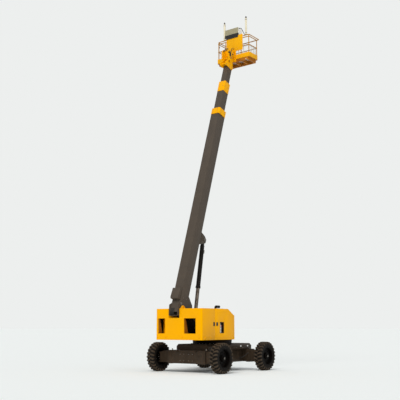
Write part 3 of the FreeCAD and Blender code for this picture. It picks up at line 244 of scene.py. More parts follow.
# ---------------------------------------------------------------- where the groups stand
SLEW_X = -0.283
HALF_WHEELBASE = 1.525
AXLE_HEIGHT = 0.575
KINGPIN_Y = 1.44
HULL_END = 1.700       # from the slewing axis to the axle boxes' outer faces
DECK_HALF = 0.780      # half the width of the chassis's deck
COVER_HALF = 1.135     # half the width over the hoods
TUBE_MIDDLE = 0.45     # height of the boom tubes' middle above the pivot, in their own axes
PIVOT = Vector((SLEW_X - 1.5, 0.2, 2.36))
LEAN = math.radians(72.35)
BOOM = Matrix.Translation(PIVOT) @ Matrix.Rotation(-LEAN, 4, "Y")
LEVEL_PIN = BOOM @ Vector((11.78, 0.0, 0.6))
HEAD_PIN = BOOM @ Vector((3.16, 0.0, -0.19))
FOOT_PIN = Vector((SLEW_X - 0.98, 0.2, 1.62))
ROD_LINE = (FOOT_PIN - HEAD_PIN).normalized()


def slew(x, y, z):
    """A point given from the slewing axis."""
    return Vector((x + SLEW_X, y, z))


def on_boom(x, y, z):
    """A point given in the boom's own axes, x along it from the pivot."""
    return BOOM @ Vector((x, y, z))


def cage(x, y, z):
    """A point given from the levelling pin, level with the ground."""
    return LEVEL_PIN + Vector((x, y, z))


# ---------------------------------------------------------------- finishes
MATERIALS = {}


def add(tree, kind, settings=None, **links):
    """Adds a node, sets what is given by attribute or socket name, and links its inputs."""
    node = tree.nodes.new("ShaderNode" + kind)
    for key, value in (settings or {}).items():
        if key in node.inputs:
            node.inputs[key].default_value = value
        else:
            setattr(node, key, value)
    for key, source in links.items():
        target = node.inputs[int(key[1:])] if key[0] == "_" else node.inputs[key]
        tree.links.new(source, target)
    return node


def finish_of(name, roughness, metallic=0.0, ior=None, coat=0.0):
    """An empty finish with its shader and coordinates; the caller links the rest."""
    material = bpy.data.materials.new(name)
    material.use_nodes = True
    tree = material.node_tree
    shader = tree.nodes["Principled BSDF"]
    shader.inputs["Roughness"].default_value = roughness
    shader.inputs["Metallic"].default_value = metallic
    if ior:
        shader.inputs["IOR"].default_value = ior
    if coat:
        shader.inputs["Coat Weight"].default_value = coat
        shader.inputs["Coat Roughness"].default_value = 0.12
    MATERIALS[name] = material
    return tree, shader, add(tree, "TexCoord").outputs["Object"]


def speckled(tree, where, colours, size_mm, spread=(0.35, 0.65), detail=4.0):
    """Colour that drifts between two tones in patches of about the given size."""
    noise = add(tree, "TexNoise", {"Scale": 1000.0 / size_mm, "Detail": detail,
                                   "Roughness": 0.6}, Vector=where)
    ramp = add(tree, "ValToRGB", Fac=noise.outputs["Fac"])
    ramp.color_ramp.elements[0].position = spread[0]
    ramp.color_ramp.elements[1].position = spread[1]
    ramp.color_ramp.elements[0].color = shade(colours[0])
    ramp.color_ramp.elements[1].color = shade(colours[1])
    return ramp.outputs["Color"], noise.outputs["Fac"]


def speckled_base(tree, shader, where, colours, size_mm, *pattern):
    """Speckled base colour; gives back its pattern."""
    colour, patches = speckled(tree, where, colours, size_mm, *pattern)
    tree.links.new(colour, shader.inputs["Base Color"])
    return patches


def uneven_sheen(tree, shader, low, high, pattern):
    """Roughness that goes from low to high with a pattern."""
    rough = add(tree, "MapRange", {"To Min": low, "To Max": high}, Value=pattern)
    tree.links.new(rough.outputs["Result"], shader.inputs["Roughness"])


def tilted(tree, shader, height, strength, depth):
    """A relief that only tilts the surface, of the given depth in metres."""
    bump = add(tree, "Bump", {"Strength": strength, "Distance": depth}, Height=height)
    tree.links.new(bump.outputs["Normal"], shader.inputs["Normal"])


def grained(tree, shader, where, size_mm, detail, strength, depth):
    """Fine grain of the given size."""
    grain = add(tree, "TexNoise", {"Scale": 1000.0 / size_mm, "Detail": detail}, Vector=where)
    tilted(tree, shader, grain.outputs["Fac"], strength, depth)


def enamel(name, light, dark, dust, patch_mm=420.0, roughness=0.34, dust_top=1.2,
           dust_share=0.35, glint="#8E8A84"):
    """Sprayed enamel on steel: even colour, faint orange peel, road dust low down."""
    tree, shader, where = finish_of(name, roughness, ior=1.5)
    shader.inputs["Specular Tint"].default_value = shade(glint)
    colour = speckled(tree, where, (dark, light), patch_mm)[0]
    height = add(tree, "SeparateXYZ", _0=where).outputs["Z"]
    low_down = add(tree, "MapRange", {"From Min": dust_top, "From Max": 0.0, "To Min": 0.0,
                                      "To Max": dust_share}, Value=height).outputs["Result"]
    grime = add(tree, "TexNoise", {"Scale": 1000.0 / 90.0, "Detail": 6.0}, Vector=where)
    amount = add(tree, "Math", {"operation": "MULTIPLY"}, _0=low_down,
                 _1=grime.outputs["Fac"]).outputs[0]
    mixed = add(tree, "Mix", {"data_type": "RGBA"}, _0=amount, _6=colour)
    mixed.inputs[7].default_value = shade(dust)
    tree.links.new(mixed.outputs[2], shader.inputs["Base Color"])
    uneven_sheen(tree, shader, roughness - 0.06, roughness + 0.10, grime.outputs["Fac"])
    grained(tree, shader, where, 3.5, 1.0, 0.05, 0.0006)


def make_finishes(colours):
    """All finishes of the machine, most named for what the real one is; some are darker copies that
    carry painted shade.
    """
    # Two-pack enamel on the covers: saturated, with the pigment tinting its sheen.
    enamel("yellow_enamel", colours["cover"], "#F3AA00", "#A8873F", patch_mm=900.0,
           dust_top=1.6, dust_share=0.06, roughness=0.42, glint="#F0A000")
    # Enamel on the boom: brown grey, duller than the covers.
    enamel("boom_enamel", colours["boom"], "#4B433B", "#6B6154", roughness=0.45,
           dust_top=4.0, dust_share=0.08)
    # Enamel on the chassis and axles: near black brown with road dust.
    enamel("chassis_enamel", colours["chassis"], "#2C231A", "#5C4C39", roughness=0.5,
           dust_share=0.22)
    # The same enamel on the slew ring and the turntable, darker as painted shade.
    enamel("shaded_deck_enamel", "#140F0B", "#0D0A07", "#33291F", roughness=0.6, dust_share=0.08,
           glint="#4A4540")
    # Enamel on wheels and knuckles, darker and duller still.
    enamel("wheel_enamel", "#0D0A08", "#070504", "#1E1813", roughness=0.6, dust_share=0.08,
           glint="#3F3B37")
    # Black enamel on the cylinder's barrel, the exhaust and the head's fittings.
    enamel("black_enamel", "#15110F", "#0D0B0A", "#2C261F", roughness=0.32)
    # Enamel of the platform's rails.
    enamel("rail_enamel", colours["rail"], "#E8A614", "#A8873F", roughness=0.40,
           glint="#E8A000")
    # The same enamel on the rails' tubes, darker as painted shade.
    enamel("shaded_tube_enamel", "#B9820F", "#A67308", "#8A7038", roughness=0.40, glint="#A87400")
    # Cream enamel of the guard posts.
    enamel("cream_enamel", "#E4DCC4", "#D6CCB0", "#8C7A55", roughness=0.35)
    # Primer-toned paint on the platform's floor frame; on the windows' shaded sides the same colour is
    # painted shade.
    enamel("floor_paint_and_shade", "#B57323", "#8A521A", "#6A5A45", roughness=0.5, glint="#C07A20")

    # Vulcanised rubber: matt black in the grooves, dusty brown on the lugs that touch.
    for name, dark, light in (("tyre_rubber", "#0F0D0B", "#1F1A16"),
                              ("lug_rubber", "#3A3128", "#5A4C3C")):
        tree, shader, where = finish_of(name, 0.82, ior=1.52)
        shader.inputs["Specular Tint"].default_value = shade("#8E8A84")
        speckled_base(tree, shader, where, (dark, light), 60.0, (0.42, 0.85), 7.0)
        grained(tree, shader, where, 4.0, 3.0, 0.25, 0.001)

    # Hard-chromed rod: bright but toned grey brown, with an uneven sheen.
    tree, shader, where = finish_of("chromed_rod", 0.16, metallic=1.0)
    patches = speckled_base(tree, shader, where, ("#6B6055", "#85796C"), 160.0)
    uneven_sheen(tree, shader, 0.12, 0.26, patches)

    # Bare rolled steel: pins, bolts, fittings and straps.
    tree, shader, where = finish_of("bare_steel", 0.38, metallic=1.0)
    patches = speckled_base(tree, shader, where, ("#77726B", "#A39D94"), 30.0)
    uneven_sheen(tree, shader, 0.28, 0.5, patches)

    # Grey cast iron with a sand-cast skin.
    tree, shader, where = finish_of("cast_iron", 0.6, metallic=0.6)
    speckled_base(tree, shader, where, ("#2A2B2C", "#45474A"), 40.0)
    grained(tree, shader, where, 5.0, 4.0, 0.4, 0.0015)

    # Zinc-coated steel of the infill and the grating, with its spangle.
    tree, shader, where = finish_of("zinc_coat", 0.42, metallic=0.75)
    spangle = add(tree, "TexVoronoi", {"Scale": 1000.0 / 18.0}, Vector=where)
    ramp = add(tree, "ValToRGB", Fac=spangle.outputs["Distance"])
    ramp.color_ramp.elements[0].color = shade("#D4D3CB")
    ramp.color_ramp.elements[1].color = shade("#EFEEE8")
    tree.links.new(ramp.outputs["Color"], shader.inputs["Base Color"])

    # Moulded ABS: fine spark-eroded grain under a low sheen.
    for name, light, dark in (("grey_abs", "#A19A7C", "#938B6E"),
                              ("white_abs", "#FAF6EC", "#F1EDE2"),
                              ("red_abs", "#B3201A", "#A11B16"),
                              ("smoke_abs", "#5C5248", "#50473E"),
                              ("black_abs", "#24211F", "#181614")):
        tree, shader, where = finish_of(name, 0.48, ior=1.53)
        speckled_base(tree, shader, where, (dark, light), 240.0)
        grained(tree, shader, where, 2.5, 2.0, 0.2, 0.0004)

    # Hose rubber, dull and slightly mottled.
    tree, shader, where = finish_of("hose_rubber", 0.6, ior=1.52)
    speckled_base(tree, shader, where, ("#171513", "#2B2723"), 25.0)

    # Lamps and reflectors: tinted polycarbonate, glossy, with small facets.
    for name, tint in (("amber_lens", "#E8862A"), ("clear_lens", "#E9ECEA")):
        tree, shader, where = finish_of(name, 0.12, ior=1.58, coat=0.5)
        shader.inputs["Base Color"].default_value = shade(tint)
        cells = add(tree, "TexVoronoi", {"Scale": 1000.0 / 6.0}, Vector=where)
        tilted(tree, shader, cells.outputs["Distance"], 0.3, 0.0008)

    # Matt studio floor: seamless paper with next to no shine.
    shader = finish_of("studio_paper", 1.0)[1]
    shader.inputs["Specular IOR Level"].default_value = 0.0
    shader.inputs["Base Color"].default_value = shade(colours["floor"])


# Each finish and the parts of the frame that have it.
NODE_FINISHES = {
    "yellow_enamel": ["counterweight", "hood_left", "hood_right", "boom_head", "level_bracket",
                      "platform_clamp", "base_collar", "mid_collar"],
    "boom_enamel": ["boom_base_section", "boom_mid_section", "boom_fly_section", "hose_box"],
    "chassis_enamel": ["chassis_frame", "axle_box_front", "axle_box_rear"]
                      + ["axle_beam_" + c for c in CORNERS],
    # The turntable's frame and the slew ring take the darker enamel, which is painted shade.
    "shaded_deck_enamel": ["upper_frame", "slew_ring"],
    "wheel_enamel": ["knuckle_" + c for c in CORNERS] + ["rim_" + c for c in CORNERS],
    "tyre_rubber": ["tyre_" + c for c in CORNERS],
    "bare_steel": ["boom_pivot_pin"],
    "cast_iron": ["engine_block"],
    "black_abs": ["ground_controls"],
    "smoke_abs": ["post_caps"],
    "black_enamel": ["lift_cylinder_barrel", "exhaust"],
    "chromed_rod": ["lift_cylinder_rod"],
    "floor_paint_and_shade": ["platform_floor"],
    "zinc_coat": ["floor_grating", "mesh_panels"],
    "rail_enamel": ["kick_plates", "back_panel"],
    # The rails' tubes and gate take the darker enamel, which is painted shade.
    "shaded_tube_enamel": ["guard_rails", "platform_gate"],
    "grey_abs": ["control_console"],
    "cream_enamel": ["guard_posts"],
}


# ---------------------------------------------------------------- settings
class FinishSettings(bpy.types.PropertyGroup):
    """Paint of the covers and colour of the studio's paper"""
    cover: FloatVectorProperty(name="Cover paint", description="Enamel of the covers",
                               subtype="COLOR", size=3, min=0, max=1,
                               default=linear("#F4AC00"))
    floor: FloatVectorProperty(name="Floor", description="Colour of the studio paper",
                               subtype="COLOR", size=3, min=0, max=1,
                               default=linear("#F8FCFB"))


class WheelSettings(bpy.types.PropertyGroup):
    """Lugs of the tyres and nuts of the rims"""
    lug_count: IntProperty(name="Tread lugs", description="Lugs on each side of a tyre",
                           default=24, min=12, max=60)
    lug_width: FloatProperty(name="Lug width", description="Width of a lug at its tip",
                             default=0.058, unit="LENGTH", subtype="DISTANCE")
    nut_count: IntProperty(name="Wheel nuts", description="Nuts that hold each rim",
                           default=10, min=4, max=20)


class StudioSettings(bpy.types.PropertyGroup):
    """Lens and stand of the studio's camera"""
    lens: FloatProperty(name="Lens", description="Focal length on a 36 mm wide sensor, in mm",
                        default=66.14, min=10, max=300)
    eye: FloatVectorProperty(name="Camera place", description="Where the camera stands",
                             subtype="TRANSLATION", unit="LENGTH", size=3,
                             default=(-24.858, -18.13, 1.761))
    pitch: FloatProperty(name="Camera tilt", description="How far the camera looks up",
                         default=math.radians(9.77), unit="ROTATION", subtype="ANGLE")
    heading: FloatVectorProperty(name="Camera heading", description="Level direction of view",
                                 subtype="DIRECTION", size=3, default=(0.7949, 0.6067, 0.0))


# ---------------------------------------------------------------- studio
def sun_lamp(name, towards, strength, spread, colour):
    """A far soft lamp; the direction is the way its light travels."""
    lamp = bpy.data.lights.new(name, "SUN")
    lamp.angle = math.radians(spread)
    lamp.energy = strength
    lamp.color = linear(colour)
    holder = bpy.data.objects.new(name, lamp)
    holder.rotation_euler = Vector(towards).to_track_quat("-Z", "Y").to_euler()
    bpy.context.scene.collection.objects.link(holder)


class BOOMLIFT_OT_studio(bpy.types.Operator):
    """Sets down the camera, the pale floor and the soft lights"""
    bl_idname = "boomlift.studio"
    bl_label = "Studio"

    def execute(self, context):
        settings = context.scene.boomlift_studio
        camera = bpy.data.cameras.new("camera")
        camera.lens = settings.lens
        camera.sensor_width = 36.0
        camera.clip_end = 2000.0
        holder = bpy.data.objects.new("camera", camera)
        holder.location = settings.eye
        level = Vector(settings.heading).normalized()
        look = level * math.cos(settings.pitch) + Vector((0, 0, math.sin(settings.pitch)))
        holder.rotation_euler = look.to_track_quat("-Z", "Y").to_euler()
        context.scene.collection.objects.link(holder)
        context.scene.camera = holder

        def floor(bm):
            bmesh.ops.create_circle(bm, cap_ends=True, radius=600.0, segments=96)
        disc = bpy.data.objects.new("studio_floor", mesh_from("studio_floor", floor))
        disc.data.materials.append(MATERIALS["studio_paper"])
        context.scene.collection.objects.link(disc)

        sun_lamp("key_light", (0.62, 0.22, -0.75), 1.70, 30.0, "#FFFDFA")
        sun_lamp("fill_light", (0.10, 0.80, -0.60), 0.30, 60.0, "#F6F9FF")
        sun_lamp("front_light", (0.79, 0.60, -0.08), 0.65, 20.0, "#FFFEFC")
        world = bpy.data.worlds.new("studio_air")
        world.use_nodes = True
        tree = world.node_tree
        tree.nodes.clear()
        path = add(tree, "LightPath")
        seen = add(tree, "Background", {"Color": shade("#EDEFEE"), "Strength": 1.0})
        lit = add(tree, "Background", {"Color": shade("#F6F7F8"), "Strength": 0.46})
        mix = add(tree, "MixShader", _0=path.outputs["Is Camera Ray"],
                  _1=lit.outputs[0], _2=seen.outputs[0])
        add(tree, "OutputWorld", Surface=mix.outputs[0])
        context.scene.world = world
        context.scene.view_settings.view_transform = "Standard"
        context.scene.view_settings.look = "None"
        return {"FINISHED"}


class BOOMLIFT_OT_finishes(bpy.types.Operator):
    """Makes every finish and paints the frame's own parts with them"""
    bl_idname = "boomlift.finishes"
    bl_label = "Finishes"

    def execute(self, context):
        settings = context.scene.boomlift_finish
        make_finishes({"cover": settings.cover, "boom": "#50473E", "chassis": "#3A2F25",
                       "rail": "#F0AE12", "floor": settings.floor})
        painted = set()
        for finish, nodes in NODE_FINISHES.items():
            for node in nodes:
                for slot in NODES[node].material_slots:
                    slot.material = MATERIALS[finish]
                painted.add(node)
        left = set(NODES) - painted
        if left:
            raise RuntimeError("no finish for " + ", ".join(sorted(left)))
        return {"FINISHED"}


# ---------------------------------------------------------------- wheels
def wheel_place(corner):
    """Matrix from wheel coordinates, +y outwards, to the machine."""
    centre = centre_of("tyre_" + corner)
    half_turn = Matrix.Rotation(0.0 if centre.y > 0 else math.pi, 4, "Z")
    return Matrix.Translation(centre) @ half_turn


class BOOMLIFT_OT_tyres(bpy.types.Operator):
    """Moulds the four tyres: rounded carcass, staggered lugs wrapped over the shoulder"""
    bl_idname = "boomlift.tyres"
    bl_label = "Tyres"

    def execute(self, context):
        settings = context.scene.boomlift_wheels
        low, high = box_of("tyre_rear_left")
        radius, half = (high.z - low.z) / 2, (high.y - low.y) / 2
        bead = min(abs(v.co.z - (low.z + high.z) / 2) for v in NODES["tyre_rear_left"].data.vertices
                   if abs(v.co.x - (low.x + high.x) / 2) < 0.02)
        for corner in CORNERS:
            place = wheel_place(corner)

            def carcass(bm, place=place):
                crown = radius - 0.027
                side = [(-half + 0.033, bead + 0.001), (-half + 0.031, bead + 0.016),
                        (-half + 0.008, bead + 0.022), (-half + 0.003, bead + 0.040),
                        (-half + 0.010, bead + 0.046), (-half + 0.004, bead + 0.056),
                        (-half + 0.001, bead + 0.092), (-half + 0.002, bead + 0.135),
                        (-half + 0.010, crown - 0.034), (-half + 0.021, crown - 0.016),
                        (-half + 0.040, crown - 0.004), (-half + 0.075, crown)]
                profile = side + [(-y, r) for y, r in reversed(side)]
                add_ring_surface(bm, profile, 112, place)

            def lugs(bm, place=place):
                pitch = math.tau / settings.lug_count
                foot = radius - 0.05
                width = settings.lug_width
                for number in range(settings.lug_count):
                    for hand in (-1, 1):
                        turn = number * pitch + (pitch / 2 if hand < 0 else 0)
                        stations = []
                        for y, top, base, shift, wide in (
                                (0.004, radius - 0.004, foot, 0.034, 0.9),
                                (0.050, radius - 0.001, foot, 0.026, 0.95),
                                (0.100, radius - 0.001, foot, 0.010, 1.0),
                                (half - 0.022, radius - 0.002, foot - 0.01, -0.002, 1.1),
                                (half - 0.008, radius - 0.016, foot - 0.04, -0.004, 1.15),
                                (half - 0.003, radius - 0.045, foot - 0.06, -0.004, 1.05),
                                (half - 0.002, radius - 0.085, foot - 0.085, -0.004, 0.7)):
                            ring = []
                            for r, share in ((base, 0.62), (top - 0.006, 0.52), (top, 0.44),
                                             (top, -0.44), (top - 0.006, -0.52),
                                             (base, -0.62)):
                                angle = turn + (shift + share * width * wide) / radius
                                ring.append(place @ Vector((r * math.sin(angle), hand * y,
                                                            r * math.cos(angle))))
                            stations.append(ring)
                        add_stations(bm, stations)

            wheel = "wheel_" + corner
            tyre = piece("tyre_carcass_" + corner, carcass, "tyre_rubber", wheel, "tyre", 35)
            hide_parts("tyre_" + corner)
            piece("tyre_tread_" + corner, lugs, "lug_rubber", wheel, "tyre", 30)
        return {"FINISHED"}


class BOOMLIFT_OT_rims(bpy.types.Operator):
    """Turns the four rims with their lips, dish, drive hub, nuts and drain plug"""
    bl_idname = "boomlift.rims"
    bl_label = "Rims"

    def execute(self, context):
        settings = context.scene.boomlift_wheels
        low, high = box_of("rim_rear_left")
        lip = (high.z - low.z) / 2
        half = 0.157
        for corner in CORNERS:
            place = wheel_place(corner)

            def turned(bm, place=place):
                barrel = [(-half, lip - 0.002), (-half + 0.010, lip), (-half + 0.014, lip - 0.014),
                          (half - 0.014, lip - 0.014), (half - 0.010, lip), (half, lip - 0.002),
                          (half, lip - 0.010), (half - 0.014, lip - 0.026),
                          (half - 0.060, lip - 0.030), (0.110, lip - 0.045),
                          (0.050, lip - 0.050), (0.046, lip - 0.075), (0.046, 0.150),
                          (0.046, 0.135), (0.105, 0.130), (0.116, 0.122), (0.118, 0.084),
                          (0.148, 0.078), (0.151, 0.070), (0.151, 0.0008),
                          (0.020, 0.0008), (0.020, lip - 0.050), (-0.05, lip - 0.026),
                          (-half, lip - 0.026)]
                add_ring_surface(bm, barrel, 72, place)

            wheel = "wheel_" + corner
            rim = piece("rim_turned_" + corner, turned, "wheel_enamel", wheel, "rim_grey", 32)
            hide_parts("rim_" + corner)

            outward = place.to_3x3() @ Vector((0, 1, 0))

            def nuts(bm, place=place, outward=outward):
                for angle in around(settings.nut_count):
                    at = Vector((0.212 * math.sin(angle), 0.046, 0.212 * math.cos(angle)))
                    add_bolt(bm, place @ at, outward, 0.030, 0.022)
                    add_rod(bm, place @ (at + Vector((0, 0.02, 0))),
                            place @ (at + Vector((0, 0.034, 0))), 0.009, 10)
                for angle in around(12, 0.5):
                    at = Vector((0.104 * math.sin(angle), 0.117, 0.104 * math.cos(angle)))
                    add_bolt(bm, place @ at, outward, 0.016, 0.009)
            piece("wheel_nuts_" + corner, nuts, "wheel_enamel", wheel, "rim_grey")

            def plug(bm, place=place, outward=outward):
                add_disc(bm, place @ Vector((0, 0.1508, 0)), outward, 0.034, 0.006, 28, 0.002)
                add_bolt(bm, place @ Vector((0, 0.1568, 0)), outward, 0.024, 0.008)
            piece("hub_plug_" + corner, plug, "bare_steel", wheel, "steel", 35)
        return {"FINISHED"}


# ---------------------------------------------------------------- chassis
class BOOMLIFT_OT_chassis(bpy.types.Operator):
    """Rounds the chassis plates and adds the slew ring, bolts, covers, pins, lamps and hoses"""
    bl_idname = "boomlift.chassis"
    bl_label = "Chassis"

    def execute(self, context):
        softened("chassis_frame", "chassis", "chassis_enamel", "frame_grey", 0.010)
        for end in ("front", "rear"):
            softened("axle_box_" + end, "chassis", "chassis_enamel", "frame_grey", 0.008)
        for corner in CORNERS:
            softened("axle_beam_" + corner, "beam_" + corner, "chassis_enamel", "frame_grey",
                     0.006)

        def ring(bm):
            place = upright(slew(0, 0, 0))
            add_ring_surface(bm, [(1.080, 0.716), (1.080, 0.7998), (1.108, 0.7998),
                                  (1.112, 0.790), (1.160, 0.790), (1.164, 0.7998),
                                  (1.238, 0.7998), (1.2448, 0.792), (1.2448, 0.726),
                                  (1.238, 0.716)], 96, place)
        # The slew ring takes the darker enamel, which is painted shade.
        turned = piece("slew_ring_turned", ring, "shaded_deck_enamel", "chassis", "dark_steel", 30)
        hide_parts("slew_ring")

        def deck_bolts(bm):
            for angle in around(36):
                x, y = 0.845 * math.cos(angle), 0.845 * math.sin(angle)
                if abs(y) < 0.66:
                    add_bolt(bm, slew(x, y, 1.080), (0, 0, 1), 0.030, 0.018)
            for side in (-1, 1):
                for x in (-1.16, -0.72, -0.28, 0.16, 0.60, 1.04, 1.48):
                    add_bolt(bm, slew(x, side * DECK_HALF, 0.905), (0, side, 0), 0.024, 0.014)
            for end in (-1, 1):
                face = end * HULL_END
                for y in (-0.30, -0.12, 0.12, 0.30):
                    for z in (0.45, 0.70):
                        add_bolt(bm, slew(face, y, z), (end, 0, 0), 0.026, 0.015)
        piece("deck_bolts", deck_bolts, "bare_steel", "chassis", "steel")

        def covers(bm):
            for end in (-1, 1):
                face = end * HULL_END
                add_box(bm, slew(face, -0.36, 0.40), slew(face + end * 0.008, 0.36, 0.75), 0.003)
                for side in (-1, 1):
                    add_box(bm, slew(face, side * 0.62 - 0.09, 0.60),
                            slew(face + end * 0.012, side * 0.62 + 0.09, 0.625), 0.003)
            for side in (-1, 1):
                for x in (-0.95, 0.25):
                    add_box(bm, slew(x, side * 0.600, 0.42), slew(x + 0.70, side * 0.612, 0.78),
                            0.004)
        piece("chassis_covers", covers, "chassis_enamel", "chassis", "frame_grey")

        def seams(bm):
            for side in (-1, 1):
                add_rod(bm, slew(-1.335, side * 0.604, 0.846), slew(1.345, side * 0.604, 0.846),
                        0.006, 6)
                for end in (-1, 1):
                    add_rod(bm, slew(end * 1.346, side * 0.604, 0.345),
                            slew(end * 1.346, side * 0.604, 0.846), 0.006, 6)
        piece("chassis_seams", seams, "chassis_enamel", "chassis", "frame_grey", 40)

        def lock_pins(bm):
            for end in (-1, 1):
                for side in (-1, 1):
                    at = slew(end * HALF_WHEELBASE, side * 0.84, 0.850)
                    add_disc(bm, at, (0, 0, 1), 0.034, 0.016, 24, 0.003)
                    add_rod(bm, at + Vector((0, 0, 0.012)), at + Vector((0, 0, 0.060)), 0.015,
                            16, 0.003)
                    add_rod(bm, at + Vector((-0.045, 0, 0.050)), at + Vector((0.045, 0, 0.050)),
                            0.006, 8)
        piece("lock_pins", lock_pins, "bare_steel", "chassis", "steel", 35)

        def reflectors(bm):
            for y in (-0.72, -0.44, 0.44, 0.72):
                add_disc(bm, slew(HULL_END, y, 0.74), (1, 0, 0), 0.040, 0.012, 28, 0.004)
        piece("front_reflectors", reflectors, "clear_lens", "chassis", "mesh_pale", 35)

        def side_marks(bm):
            for side in (-1, 1):
                for x in (0.92, 1.42):
                    add_disc(bm, slew(x, side * DECK_HALF, 0.975), (0, side, 0), 0.034, 0.010, 28,
                             0.003)
        piece("side_lamps", side_marks, "clear_lens", "chassis", "mesh_pale", 35)

        for end, tag in ((-1, "rear"), (1, "front")):
            for side, hand in ((-1, "right"), (1, "left")):
                x = end * 1.345
                hose("drive_hose_%s_%s" % (tag, hand),
                     [slew(x - end * 0.30, side * 0.610, 0.50), slew(x - end * 0.22, side * 0.66, 0.50),
                      slew(x - end * 0.10, side * 0.74, 0.56), slew(x - end * 0.06, side * 0.84, 0.66),
                      slew(x - end * 0.012, side * 0.885, 0.70)], 0.013, "chassis")
        return {"FINISHED"}


class BOOMLIFT_OT_knuckles(bpy.types.Operator):
    """Turns the knuckles' barrels and housings and adds steering arms, studs and caps"""
    bl_idname = "boomlift.knuckles"
    bl_label = "Knuckles"

    def execute(self, context):
        for corner in CORNERS:
            body = "knuckle_" + corner
            end = 1 if "front" in corner else -1
            side = 1 if "left" in corner else -1
            kingpin = slew(end * HALF_WHEELBASE, side * KINGPIN_Y, AXLE_HEIGHT)

            def casting(bm, side=side, kingpin=kingpin):
                place = upright(kingpin)
                add_ring_surface(bm, [(-0.1518, 0.050), (-0.1518, 0.0598), (-0.10, 0.0598),
                                      (-0.09, 0.054), (0.09, 0.054), (0.10, 0.0598),
                                      (0.1518, 0.0598), (0.1518, 0.050)], 36, place,
                                 closed_profile=False)
                out = Matrix.Translation(kingpin)
                if side < 0:
                    out = out @ Matrix.Rotation(math.pi, 4, "Z")
                add_ring_surface(bm, [(-0.02, 0.070), (0.0, 0.088), (0.040, 0.092),
                                      (0.052, 0.1078), (0.118, 0.1078), (0.1248, 0.100)], 48,
                                 out, closed_profile=False)

            def arm(bm, side=side, kingpin=kingpin):
                z = -0.115
                outline = [(0.0, 0.030), (-0.150, 0.033), (-0.215, 0.036), (-0.232, 0.048),
                           (-0.2345, 0.060), (-0.232, 0.072), (-0.215, 0.084),
                           (-0.150, 0.088), (0.0, 0.099)]
                top = [kingpin + Vector((x, side * y, z + 0.0178)) for x, y in outline]
                bottom = [kingpin + Vector((x, side * y, z - 0.0178)) for x, y in outline]
                add_stations(bm, [bottom, top])
            made = piece("knuckle_turned_" + corner, casting, "wheel_enamel", body,
                         "dark_steel", 32)
            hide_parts("knuckle_" + corner)
            piece("steering_arm_" + corner, arm, "wheel_enamel", body, "dark_steel", 40)

            def fittings(bm, side=side, kingpin=kingpin):
                stud = kingpin + Vector((-0.205, side * 0.060, -0.098))
                add_rod(bm, stud, stud + Vector((0, 0, 0.036)), 0.016, 20, 0.002)
                add_bolt(bm, stud + Vector((0, 0, 0.034)), (0, 0, 1), 0.026, 0.012)
                for angle in around(8):
                    at = kingpin + Vector((0.098 * math.sin(angle), side * 0.052,
                                           0.098 * math.cos(angle)))
                    add_bolt(bm, at, (0, -side, 0), 0.016, 0.009)
            piece("knuckle_fittings_" + corner, fittings, "bare_steel", body, "steel", 35)

            beam = "beam_" + corner

            def caps(bm, kingpin=kingpin):
                for up in (-1, 1):
                    at = kingpin + Vector((0, 0, up * 0.197))
                    add_disc(bm, at, (0, 0, up), 0.056, 0.012, 36, 0.003)
                    for angle in around(4, 0.5):
                        spot = at + Vector((0.040 * math.sin(angle), 0.040 * math.cos(angle),
                                            up * 0.012))
                        add_bolt(bm, spot, (0, 0, up), 0.014, 0.008)
            piece("kingpin_caps_" + corner, caps, "wheel_enamel", beam, "frame_grey", 35)
        return {"FINISHED"}


